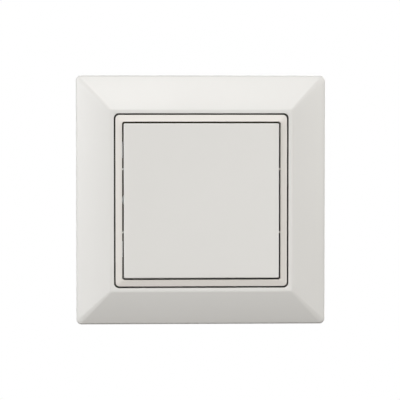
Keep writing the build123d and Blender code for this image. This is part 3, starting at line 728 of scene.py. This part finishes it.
def smooth(piece, angle=30):
    """Shade a piece smooth, with creases where faces meet at more than an angle.

    Weighted normals then keep the large faces flat, so that only the small faces of a rounding
    bend the light.
    """
    deselect()
    bpy.context.view_layer.objects.active = piece
    piece.select_set(True)
    bpy.ops.object.shade_smooth_by_angle(angle=radians(angle))
    flattener = piece.modifiers.new("flattener", "WEIGHTED_NORMAL")
    flattener.keep_sharp = True
    flattener.weight = 90
    bpy.ops.object.modifier_apply(modifier="flattener")


# %% [markdown]
# The cover frame is a thin-walled moulding. Its four sloped faces are not quite flat: they are
# crowned by a fifth of a millimetre, as large moulded faces often are so that they don't look
# sunken. The light across them shows it. Five extra outlines on the slope carry the crown, and
# the rim and the land's two edges are bevelled last.

# %% Cover frame skin
RIM_HALF = 40.0
RIM_TOP = 4.6
RIM_INSIDE = 38.2
UNDER_RIM = 3.41
LAND_HALF = 29.05
LAND_CORNER = 0.7
LAND_TOP = 9.2
UNDER_LAND = 7.24
OPENING_HALF = 27.9
LIP_HALF = 26.3
LIP_FRONT = 3.9
LIP_BACK = 2.4
PLATE_FRONT = 1.0
FRAME_CORNER = 1.6
INSIDE_CORNER = 0.4
SLOPE_CROWN = 0.2
CROWN_STEPS = 6

slope_run = RIM_HALF - LAND_HALF
slope_rise = LAND_TOP - RIM_TOP
slope_length = (slope_run ** 2 + slope_rise ** 2) ** 0.5


def crowned_slope():
    """Outlines between rim and land, pushed out along the slope's normal."""
    outlines = []
    for step in range(1, CROWN_STEPS):
        share = step / CROWN_STEPS
        push = SLOPE_CROWN * 4 * share * (1 - share)
        half = RIM_HALF - share * slope_run + push * slope_rise / slope_length
        height = RIM_TOP + share * slope_rise + push * slope_run / slope_length
        corner = FRAME_CORNER - share * (FRAME_CORNER - LAND_CORNER)
        outlines.append((half, corner, height))
    return outlines


frame_sections = [
    (RIM_HALF, FRAME_CORNER, 0.0),
    (RIM_HALF, FRAME_CORNER, RIM_TOP),
    *crowned_slope(),
    (LAND_HALF, LAND_CORNER, LAND_TOP),
    (OPENING_HALF, FRAME_CORNER, LAND_TOP),
    (OPENING_HALF, FRAME_CORNER, LIP_FRONT),
    (LIP_HALF, FRAME_CORNER, LIP_FRONT),
    (LIP_HALF, FRAME_CORNER, LIP_BACK),
    (OPENING_HALF, FRAME_CORNER, LIP_BACK),
    (OPENING_HALF, FRAME_CORNER, PLATE_FRONT),
    (LAND_HALF, FRAME_CORNER, PLATE_FRONT),
    (LAND_HALF, INSIDE_CORNER, UNDER_LAND),
    (RIM_INSIDE, INSIDE_CORNER, UNDER_RIM),
    (RIM_INSIDE, INSIDE_CORNER, 0.0),
]
cover = bridged("cover_frame_skin", frame_sections)
soften(cover, RIM_HALF, RIM_TOP, 0.72, 5)
soften(cover, LAND_HALF, LAND_TOP, 0.4, 5)
soften(cover, OPENING_HALF, LAND_TOP, 0.12)
print("cover frame:", len(cover.data.polygons), "faces")

# %% [markdown]
# Behind the skin, the lip that carries the ring has four notches for the heads of the box screws,
# and eight thin ribs stiffen the slopes. A rib is a block that is cut off along the underside of
# the slope. It is made once, in the middle of the upper slope. Copies of it are moved aside,
# turned round the switch and fused to the skin.

# %% Copies, moves, turns and slanted cuts
QUARTER_TURNS = (0, 90, 180, 270)


def twin(piece):
    """A copy with a mesh of its own."""
    other = piece.copy()
    other.data = piece.data.copy()
    bpy.context.collection.objects.link(other)
    return other


def moved(piece, across, height, up):
    """Move a piece by three distances in millimetres."""
    edit_all(piece)
    bpy.ops.transform.translate(value=(across * MM, -height * MM, up * MM))
    done()
    return piece


def turned(piece, degrees):
    """Turn a piece round the middle of the switch, seen from the front."""
    edit_all(piece)
    bpy.ops.transform.rotate(value=radians(degrees), orient_axis="Y", center_override=(0, 0, 0))
    done()
    return piece


def slanted(piece, point, normal):
    """Cut away what lies beyond a plane, given by a point in millimetres and its normal."""
    edit_all(piece)
    place = [value * MM for value in point]
    bpy.ops.mesh.bisect(plane_co=place, plane_no=normal, clear_outer=True, use_fill=True)
    done()
    return piece


def repeated(piece, tool, way, shifts):
    """Fuse or cut a copy of the tool after each shift in millimetres, and delete the tool."""
    for shift in shifts:
        combined(piece, moved(twin(tool), *shift), way)
    bpy.data.objects.remove(tool)


# %% Cover frame notches and ribs
NOTCH_HALF = 4.5
RIB_HALF = 0.5
FRAME_RIB_ACROSS = 20
UNDER_SLOPE = (0, -8.0, 29.3)

notch = block((-NOTCH_HALF, -1.0, 25.0), (NOTCH_HALF, 3.4, 31.1))
rib = block((-RIB_HALF, 1.6, 28.6), (RIB_HALF, 8.5, 39.1))
slanted(rib, UNDER_SLOPE, (0, -slope_run, slope_rise))
for turn in QUARTER_TURNS:
    combined(cover, turned(twin(notch), turn), "DIFFERENCE")
    for across in (-FRAME_RIB_ACROSS, FRAME_RIB_ACROSS):
        combined(cover, turned(moved(twin(rib), across, 0, 0), turn), "UNION")
bpy.data.objects.remove(notch)
bpy.data.objects.remove(rib)
smooth(cover)
print("cover frame with ribs:", len(cover.data.polygons), "faces")

# %% [markdown]
# The adapter ring stands on the frame's lip. Its face slopes up towards the rocker, so it catches
# the light differently from the frame beside it. Four tiny nubs on its inner wall keep the rocker
# centred, and four hooks behind it snap over the support plate. A hook is a block with a barb,
# whose free end is cut along a slant so that it leads in when it is pushed home. Each is made at
# half height, and its copies are moved down and up.

# %% Adapter ring
RING_HALF = 27.4
RING_CORNER = 1.3
RING_EDGE = 9.0
RING_INSIDE = 25.25
RING_INSIDE_CORNER = 0.75
RING_TOP = 9.6
NUB_HALF = 0.25
NUB_UP = 10.1
HOOK_HALF = 2.5
HOOK_UP = 16

ring_sections = [
    (RING_HALF, RING_CORNER, LIP_FRONT),
    (RING_HALF, RING_CORNER, RING_EDGE),
    (RING_INSIDE, RING_INSIDE_CORNER, RING_TOP),
    (RING_INSIDE, RING_INSIDE_CORNER, LIP_FRONT),
]
ring = bridged("adapter_ring_skin", ring_sections)
soften(ring, RING_HALF, RING_EDGE, 0.1)
soften(ring, RING_INSIDE, RING_TOP, 0.12)


def ring_hook(side):
    """A hook with its barb at the left (-1) or right (1), at half height."""
    stem = block((side * 25.2, -1.3, -HOOK_HALF), (side * 26.2, 4.9, HOOK_HALF))
    barb = block((side * 25.7, -1.3, -HOOK_HALF), (side * 26.8, -0.1, HOOK_HALF))
    slanted(barb, (side * 26.2, 1.3, 0), (side * 1.2, 0.6, 0))
    combined(stem, barb, "UNION")
    return stem


for side in (-1, 1):
    nub = block((side * 24.88, 3.95, -NUB_HALF), (side * 25.48, 9.45, NUB_HALF))
    repeated(ring, nub, "UNION", [(0, 0, up) for up in (-NUB_UP, NUB_UP)])
    repeated(ring, ring_hook(side), "UNION", [(0, 0, up) for up in (-HOOK_UP, HOOK_UP)])
smooth(ring)
print("adapter ring:", len(ring.data.polygons), "faces")

# %% [markdown]
# The rocker cap is a shallow square box with its open side to the wall. It starts as one block:
# the back face is inset by the wall's thickness and pushed forward, and then the four corners and
# the front edge are bevelled. In that order the bevels leave the square inside alone.

# %% Rocker cap shell
CAP_HALF_WIDTH = 24.77
CAP_HALF_LENGTH = 24.7
CAP_BACK = 4.8
CAP_FACE = 10.3
CAP_WALL = 1.5
CAP_INSIDE = 8.7
CAP_CORNER = 0.45
CAP_EDGE = 0.35

cap = block(
    (-CAP_HALF_WIDTH, CAP_BACK, -CAP_HALF_LENGTH), (CAP_HALF_WIDTH, CAP_FACE, CAP_HALF_LENGTH)
)
cap.name = "rocker_cap_skin"
choose(cap, "FACE", lambda face, middle: face.normal.y > 0.9)
bpy.ops.mesh.inset(thickness=CAP_WALL * MM)
bpy.ops.mesh.extrude_region_move(
    TRANSFORM_OT_translate={"value": (0, (CAP_BACK - CAP_INSIDE) * MM, 0)}
)
done()
bevelled(cap, CAP_CORNER, 5, lambda edge, middle: abs(middle.x) > 24 and abs(middle.z) > 24)
bevelled(cap, CAP_EDGE, 5, lambda edge, middle: middle.y < -CAP_FACE + 0.01)
print("rocker shell:", len(cap.data.polygons), "faces")

# %% [markdown]
# Under the cap's face, four ribs stand on the cradle and four legs snap through it. Each leg ends
# in a barb, a small block that is cut along a slant so that it leads in when the cap is pushed on.

# %% Rocker cap ribs and legs
CAP_RIB_SHIFT = 9
CAP_RIB_BACK = 6.0
CAP_RIB_REACH = 14
LEG_HALF = 1.5
LEG_BACK = 3.05
LEG_UP = 6
INSIDE_FACE = 9.0

upright = block((-RIB_HALF, CAP_RIB_BACK, -CAP_RIB_REACH), (RIB_HALF, INSIDE_FACE, CAP_RIB_REACH))
level = turned(twin(upright), 90)
for shift in (-CAP_RIB_SHIFT, CAP_RIB_SHIFT):
    combined(cap, moved(twin(upright), shift, 0, 0), "UNION")
    combined(cap, moved(twin(level), 0, 0, shift), "UNION")
bpy.data.objects.remove(upright)
bpy.data.objects.remove(level)


def cap_leg(side):
    """A snap leg with its barb under the cradle, at half height."""
    leg = block((side * 11.5, LEG_BACK, -LEG_HALF), (side * 12.5, INSIDE_FACE, LEG_HALF))
    barb = block((side * 12.0, LEG_BACK, -LEG_HALF), (side * 13.0, 3.95, LEG_HALF))
    slanted(barb, (side * 12.5, -LEG_BACK, 0), (side * 0.9, 0.5, 0))
    combined(leg, barb, "UNION")
    return leg


for side in (-1, 1):
    repeated(cap, cap_leg(side), "UNION", [(0, 0, up) for up in (-LEG_UP, LEG_UP)])
smooth(cap)
print("rocker cap:", len(cap.data.polygons), "faces")

# %% [markdown]
# The pieces behind the frame already have their main shape in the model. To give them the small
# forms that a mould or a press leaves, a copy of each node's mesh is merged, because a node is
# made of loose triangles, and its flat faces are joined up again. Marks, beads and ribs are then
# cut into the copy or fused to it.

# %% Copies to work on
def reworked(node, name):
    """A merged copy of a node, ready to be cut and added to."""
    piece = bpy.data.objects.new(name, nodes[node].data.copy())
    bpy.context.collection.objects.link(piece)
    edit_all(piece)
    bpy.ops.mesh.remove_doubles(threshold=0.002 * MM)
    bpy.ops.mesh.select_all(action="SELECT")
    bpy.ops.mesh.dissolve_limited(angle_limit=radians(0.5))
    done()
    return piece


print("the housing's node has", len(nodes["insert_housing"].data.vertices), "loose corners")

# %% [markdown]
# A sheet as thin as the support plate is stiffened by beads: a press pushes the steel out by less
# than its thickness, so each bead is a ridge on the front and a groove on the back. A bead is a
# round bar that only just breaks the surface. What such a bar has in front of the sheet's middle
# is fused to the front, and another bar is cut into the back. Two beads stand beside each box
# slot.

# %% Support plate with its beads
BEAD_RADIUS = 2.6
BEAD_STRETCH = 3.85
BEAD_DEPTH = 0.4
BEAD_ACROSS = 12.5
BEAD_UP = 31.5

plate = reworked("support_plate", "support_plate_skin")


def round_bar(axis_height):
    """A sphere above the switch's middle whose left and right half are then moved apart."""
    deselect()
    bpy.ops.mesh.primitive_uv_sphere_add(
        segments=64, ring_count=32, radius=BEAD_RADIUS * MM, rotation=(0, radians(90), 0),
        location=(0, -axis_height * MM, BEAD_UP * MM),
    )
    bpy.ops.object.transform_apply()
    bar = bpy.context.active_object
    for way in (-1, 1):
        choose(bar, "VERT", lambda vertex, middle: middle.x * way > 0.01)
        bpy.ops.transform.translate(value=(way * BEAD_STRETCH * MM, 0, 0))
        done()
    return bar


groove = round_bar(BEAD_DEPTH - BEAD_RADIUS)
ridge = round_bar(PLATE_FRONT + BEAD_DEPTH - BEAD_RADIUS)
slanted(ridge, (0, -PLATE_FRONT / 2, 0), (0, 1, 0))
for turn in QUARTER_TURNS:
    for across in (-BEAD_ACROSS, BEAD_ACROSS):
        combined(plate, turned(moved(twin(ridge), across, 0, 0), turn), "UNION")
        combined(plate, turned(moved(twin(groove), across, 0, 0), turn), "DIFFERENCE")
bpy.data.objects.remove(ridge)
bpy.data.objects.remove(groove)
smooth(plate, 15)
print("support plate:", len(plate.data.polygons), "faces")

# %% [markdown]
# A fitter pushes the wires in from behind without seeing much. So each pair of wire entries has a
# raised collar, and each entry widens to a funnel. The funnel is a square shaft whose outer face
# is scaled up after a cut across the shaft has given the slope its start. Collar and funnel are
# made once, in the middle of the wall, and their copies are moved to the terminals.

# %% Collars and funnels on the housing
# for each terminal, the side it is on (-1 is left, seen from the front) and up (1) or down (-1)
TERMINALS = {"common": (-1, 1), "upper": (1, 1), "lower": (1, -1)}
ENTRY_ACROSS = 9.75
ENTRY_UP = 15.5
ENTRY_SIDE = 4.2
ENTRY_SHIFT = 3
HOUSING_BACK = -21.5
COLLAR_BACK = -21.9
COLLAR_ACROSS = 5.9
COLLAR_UP = 2.8
FUNNEL_FRONT = -21.0
FUNNEL_WIDENING = 1.3
SHAFT_BACK = -22.1
SHAFT_FRONT = -19.5

housing = reworked("insert_housing", "insert_housing_skin")


def funnel():
    """A square shaft through the back wall that widens where the wire comes in."""
    half = ENTRY_SIDE / 2
    shaft = block((-half, SHAFT_BACK, -half), (half, SHAFT_FRONT, half))
    edit_all(shaft)
    bpy.ops.mesh.bisect(plane_co=(0, -FUNNEL_FRONT * MM, 0), plane_no=(0, 1, 0))
    done()
    choose(shaft, "FACE", lambda face, middle: middle.y > 22.0 and face.normal.y > 0.9)
    bpy.ops.transform.resize(
        value=(FUNNEL_WIDENING, 1.0, FUNNEL_WIDENING),
        center_override=(0, -SHAFT_BACK * MM, 0),
    )
    done()
    return shaft


collar = block(
    (-COLLAR_ACROSS, COLLAR_BACK, -COLLAR_UP), (COLLAR_ACROSS, FUNNEL_FRONT, COLLAR_UP)
)
bevelled(collar, 0.2, 2, lambda edge, middle: middle.y > 21.8)
wire_way = funnel()
for side, way in TERMINALS.values():
    across, up = side * ENTRY_ACROSS, way * ENTRY_UP
    combined(housing, moved(twin(collar), across, 0, up), "UNION")
    for shift in (-ENTRY_SHIFT, ENTRY_SHIFT):
        combined(housing, moved(twin(wire_way), across + shift, 0, up), "DIFFERENCE")
bpy.data.objects.remove(collar)
bpy.data.objects.remove(wire_way)
print("housing with wire entries:", len(housing.data.polygons), "faces")

# %% [markdown]
# The rest of the back is there to be read. A shallow field is left for a label, and a groove is as
# long as the bare end that a wire needs, 11 mm.

# %% Label field and strip gauge
FIELD_LEFT = -16.4
FIELD_RIGHT = -3.2
FIELD_LOW = -18.4
FIELD_HIGH = -5.8
FIELD_DEPTH = 0.25
FIELD_CORNER = 1.0
GAUGE_DEPTH = 0.5
STRIP_LENGTH = 11.0
BEYOND_BACK = -22.5

field_across = (FIELD_LEFT + FIELD_RIGHT) / 2
field_up = (FIELD_LOW + FIELD_HIGH) / 2
label_field = block(
    (FIELD_LEFT, HOUSING_BACK + FIELD_DEPTH, FIELD_LOW), (FIELD_RIGHT, BEYOND_BACK, FIELD_HIGH)
)
bevelled(label_field, FIELD_CORNER, 5, lambda edge, middle: (
    abs(middle.x - field_across) > 6 and abs(middle.z - field_up) > 6
))
combined(housing, label_field, "DIFFERENCE")
gauge = block(
    (FIELD_LEFT, HOUSING_BACK + GAUGE_DEPTH, -2.9), (FIELD_LEFT + STRIP_LENGTH, BEYOND_BACK, -1.5)
)
combined(housing, gauge, "DIFFERENCE")
print("housing:", len(housing.data.polygons), "faces")

# %% [markdown]
# The two outgoing terminals are numbered, an arrow points into the common one, and the groove has
# its length beside it. All these marks stand out by 0.2 mm. A text is made a mesh before its place
# is applied, because only a mesh keeps its place in its points.

# %% Numbers and an arrow on the back
MARK_RAISED = 0.2
RELEASE_UP = 10.8


def raised_text(words, size, across, up):
    """Numbers that stand out of the back wall and read from behind."""
    deselect()
    bpy.ops.object.text_add(
        location=(across * MM, -(HOUSING_BACK + 0.1) * MM, up * MM),
        rotation=(radians(90), 0, radians(180)),
    )
    text = bpy.context.active_object
    text.data.body = words
    text.data.size = size * MM
    text.data.extrude = (MARK_RAISED + 0.1) * MM
    text.data.align_x = "CENTER"
    text.data.align_y = "CENTER"
    text.data.resolution_u = 4
    bpy.ops.object.convert(target="MESH")
    bpy.ops.object.transform_apply()
    return bpy.context.active_object


def raised_arrow(across, up):
    """A small triangle that points up the wall, towards the wire entries."""
    deselect()
    bpy.ops.mesh.primitive_cylinder_add(
        vertices=3, radius=1.3 * MM, depth=2 * MARK_RAISED * MM, rotation=(radians(90), 0, 0),
        location=(across * MM, -HOUSING_BACK * MM, up * MM),
    )
    bpy.ops.object.transform_apply()
    return bpy.context.active_object


marks = [
    raised_text("1", 3.4, 15.0, RELEASE_UP),
    raised_text("2", 3.4, 15.0, -RELEASE_UP),
    raised_text("11", 2.4, -3.2, -2.2),
    raised_arrow(-15.0, RELEASE_UP),
]
marks = joined("terminal_marks", marks)
print("marks:", len(marks.data.polygons), "faces")

# %% [markdown]
# The lid is held by four snap arms that reach down the sides of the housing, each with a window
# that catches a small wedge. The arms belong to the lid and the wedges to the housing. The end
# walls carry three low ribs each, which guide the insert in its box and stiffen the wall.

# %% Snap arms, wedges and ribs
ARM_UP = 13.5
ARM_HALF = 3.0
ARM_OUTSIDE = 19.7
WINDOW_HALF = 1.8
WEDGE_HALF = 1.6

END_RIB_SHIFTS = (-6, 0, 6)


def snap_arm(side):
    """An arm of the lid at the left (-1) or right (1), with its window, at half height."""
    arm = block((side * 18.6, -0.8, -ARM_HALF), (side * ARM_OUTSIDE, -0.1, ARM_HALF))
    hanging = block((side * 19.05, -0.4, -ARM_HALF), (side * ARM_OUTSIDE, -9.0, ARM_HALF))
    combined(arm, hanging, "UNION")
    window = block((side * 18.0, -4.4, -WINDOW_HALF), (side * 20.5, -7.2, WINDOW_HALF))
    combined(arm, window, "DIFFERENCE")
    return arm


lid = reworked("mechanism_lid", "mechanism_lid_skin")
for side in (-1, 1):
    wedge = block((side * 18.5, -4.6, -WEDGE_HALF), (side * 19.65, -6.8, WEDGE_HALF))
    slanted(wedge, (side * 19.65, 4.6, 0), (side * 2.2, 0.65, 0))
    repeated(lid, snap_arm(side), "UNION", [(0, 0, up) for up in (-ARM_UP, ARM_UP)])
    repeated(housing, wedge, "UNION", [(0, 0, up) for up in (-ARM_UP, ARM_UP)])
for way in (-1, 1):
    end_rib = block((-RIB_HALF, -4.0, way * 20.5), (RIB_HALF, -19.5, way * 21.4))
    repeated(housing, end_rib, "UNION", [(across, 0, 0) for across in END_RIB_SHIFTS])
smooth(lid)
smooth(housing)
smooth(marks)
print("lid:", len(lid.data.polygons), "faces, housing:", len(housing.data.polygons), "faces")

# %% [markdown]
# Each release button lets a wire go when a small screwdriver pushes it in. A slot across its end
# keeps the tip of the blade from slipping off.

# %% Release buttons with a tool slot
buttons = {}
for name, (side, way) in TERMINALS.items():
    button = reworked(f"{name}_release", f"{name}_release_skin")
    across, up = side * ENTRY_ACROSS, way * RELEASE_UP
    slot = block((across - 1.6, -21.9, up - 0.4), (across + 1.6, -23.0, up + 0.4))
    combined(button, slot, "DIFFERENCE")
    smooth(button)
    buttons[name] = button
print(len(buttons), "release buttons")

# %% [markdown]
# A screw thread is one tooth that climbs as it turns. The Screw modifier sweeps a small bent line
# round an axis and up by the pitch, as often as there are turns. What lies inside a block is then
# kept, which cuts both ends flat, and the head is fused on: a short cylinder with a bevelled edge
# and a slot or a cross in it.

# %% Screw helpers
THREAD_STEPS = 20


def thread(radius, pitch, back, front):
    """A threaded rod in millimetres that reaches beyond two heights, to be cut flat there."""
    deselect()
    bpy.ops.mesh.primitive_plane_add(size=2 * MM)
    rod = bpy.context.active_object
    edit_all(rod)
    bpy.ops.mesh.merge(type="CENTER")
    depth = 0.6 * pitch
    bpy.ops.transform.translate(value=((radius - depth) * MM, 0, 0))
    for rise, out in ((pitch * 0.45, depth), (pitch * 0.1, 0), (pitch * 0.45, -depth)):
        bpy.ops.mesh.extrude_vertices_move(
            TRANSFORM_OT_translate={"value": (out * MM, 0, rise * MM)}
        )
    done()
    winding = rod.modifiers.new("winding", "SCREW")
    winding.axis = "Z"
    winding.steps = THREAD_STEPS
    winding.render_steps = THREAD_STEPS
    winding.screw_offset = pitch * MM
    winding.iterations = int((front - back) / pitch) + 3
    winding.use_merge_vertices = True
    winding.merge_threshold = 0.0005 * MM
    bpy.ops.object.modifier_apply(modifier="winding")
    edit_all(rod)
    bpy.ops.mesh.remove_doubles(threshold=0.001 * MM)
    bpy.ops.mesh.select_all(action="DESELECT")
    bpy.ops.mesh.select_non_manifold()
    bpy.ops.mesh.edge_face_add()
    bpy.ops.mesh.select_all(action="SELECT")
    bpy.ops.mesh.normals_make_consistent(inside=False)
    bpy.ops.transform.rotate(value=radians(-90), orient_axis="X", center_override=(0, 0, 0))
    bpy.ops.transform.translate(value=(0, -(back - pitch) * MM, 0))
    done()
    return rod


def pan_head(radius, back, front, rounding):
    """A low round head in the middle of the wall, its front edge bevelled."""
    deselect()
    bpy.ops.mesh.primitive_cylinder_add(
        vertices=40, radius=radius * MM, depth=(front - back) * MM,
        location=(0, -(front + back) / 2 * MM, 0), rotation=(radians(90), 0, 0),
    )
    bpy.ops.object.transform_apply()
    head = bpy.context.active_object
    bevelled(head, rounding, 5, lambda edge, middle: middle.y < -front + 0.01)
    return head


def whole_screw(radius, pitch, back, head_radius, head_back, head_front):
    """A threaded screw in the middle of the wall, still without its slot."""
    rod = thread(radius, pitch, back, head_back)
    combined(rod, block((-5, back, -5), (5, head_back + 0.3, 5)), "INTERSECT")
    head = pan_head(head_radius, head_back, head_front, (head_front - head_back) / 3)
    combined(head, rod, "UNION")
    return head


# %% [markdown]
# The claw screws carry the claws on their thread, so the thread shows from behind. Their heads
# have the plain slot that the model gives them.

# %% Claw screws
CLAW_SCREW_ACROSS = 22.2
claw_screw = whole_screw(1.5, 0.7, -20.5, 2.6, 1.9, 3.6)
combined(claw_screw, block((-0.4, 2.7, -3.0), (0.4, 4.0, 3.0)), "DIFFERENCE")
smooth(claw_screw, 40)
claw_screws = {"left": claw_screw, "right": twin(claw_screw)}
for name, side in (("left", -1), ("right", 1)):
    moved(claw_screws[name], side * CLAW_SCREW_ACROSS, 0, 0)
    claw_screws[name].name = f"{name}_claw_screw_skin"
print("claw screw:", len(claw_screw.data.polygons), "faces")

# %% [markdown]
# The four small screws hold plate, lid and housing together. They have a cross recess, made by
# pressing two crossed wedges into the head.

# %% Yoke screws
def cross_recess(front):
    """Two crossed wedges that taper towards the screw's middle."""
    wedges = []
    for turn in (0, 90):
        wedge = block((-1.15, front - 1.0, -0.22), (1.15, front + 0.2, 0.22))
        choose(wedge, "FACE", lambda face, middle: face.normal.y > 0.9)
        bpy.ops.transform.resize(value=(0.45, 1, 0.7), center_override=(0, 0, 0))
        done()
        wedges.append(turned(wedge, turn))
    combined(wedges[0], wedges[1], "UNION")
    return wedges[0]


SMALL_SCREW_ACROSS = 12
SMALL_SCREW_UP = 18.6
SMALL_HEAD_FRONT = 2.4

small_screw = whole_screw(1.25, 0.5, -7.0, 2.0, PLATE_FRONT, SMALL_HEAD_FRONT)
combined(small_screw, cross_recess(SMALL_HEAD_FRONT), "DIFFERENCE")
smooth(small_screw, 40)
small_screws = [small_screw, twin(small_screw), twin(small_screw), twin(small_screw)]
corners = [(side, way) for side in (-1, 1) for way in (-1, 1)]
for screw, (side, way) in zip(small_screws, corners):
    moved(screw, side * SMALL_SCREW_ACROSS, 0, way * SMALL_SCREW_UP)
small_screws = joined("yoke_screws_skin", small_screws)
print("yoke screws:", len(small_screws.data.polygons), "faces")

# %% [markdown]
# Each new skin takes the place of its node: it rides on the same body, takes the same finish and
# hides the plain piece, which stays in the motion model for contact.

# %% Put the skins in place
slots = {part["node"]: part["material_slot"] for part in frame["record"]["subparts"]}


def take_over(piece, body, *replaced):
    """Let a modelled piece stand for nodes of one finish on one body."""
    slot = slots[replaced[0]]
    piece.data.materials.clear()
    piece.data.materials.append(finishes[slot])
    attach(piece, body)
    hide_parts(*replaced)


take_over(cover, "insert", "cover_frame")
take_over(ring, "insert", "adapter_ring")
take_over(cap, "rocker", "rocker_cap")
take_over(plate, "insert", "support_plate")
take_over(lid, "insert", "mechanism_lid")
take_over(housing, "insert", "insert_housing")
take_over(small_screws, "insert", "yoke_screws")
for name, button in buttons.items():
    take_over(button, f"{name}_release_button", f"{name}_release")
for name, screw in claw_screws.items():
    take_over(screw, f"{name}_claw_screw", f"{name}_claw_screw")
marks.data.materials.append(finishes["housing_plastic"])
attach(marks, "insert")
print("skins in place")

# %% [markdown]
# A coil spring is squeezed and stretched as the parts at its two ends move. Here each spring gets
# a merged copy with its finish, which hides the plain node and keeps its place.

# %% Spring copies
def sprung(node):
    """A merged copy of a spring that takes its finish and hides its node."""
    spring = reworked(node, f"{node}_skin")
    spring.data.materials.clear()
    spring.data.materials.append(finishes[slots[node]])
    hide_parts(node)
    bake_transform(spring)
    return spring


sprung("upper_return_spring")
sprung("lower_return_spring")
sprung("plunger_spring")

# %% [markdown]
# Last, the view settings stay plain.

# %% Finish
bpy.context.scene.view_settings.view_transform = "Standard"
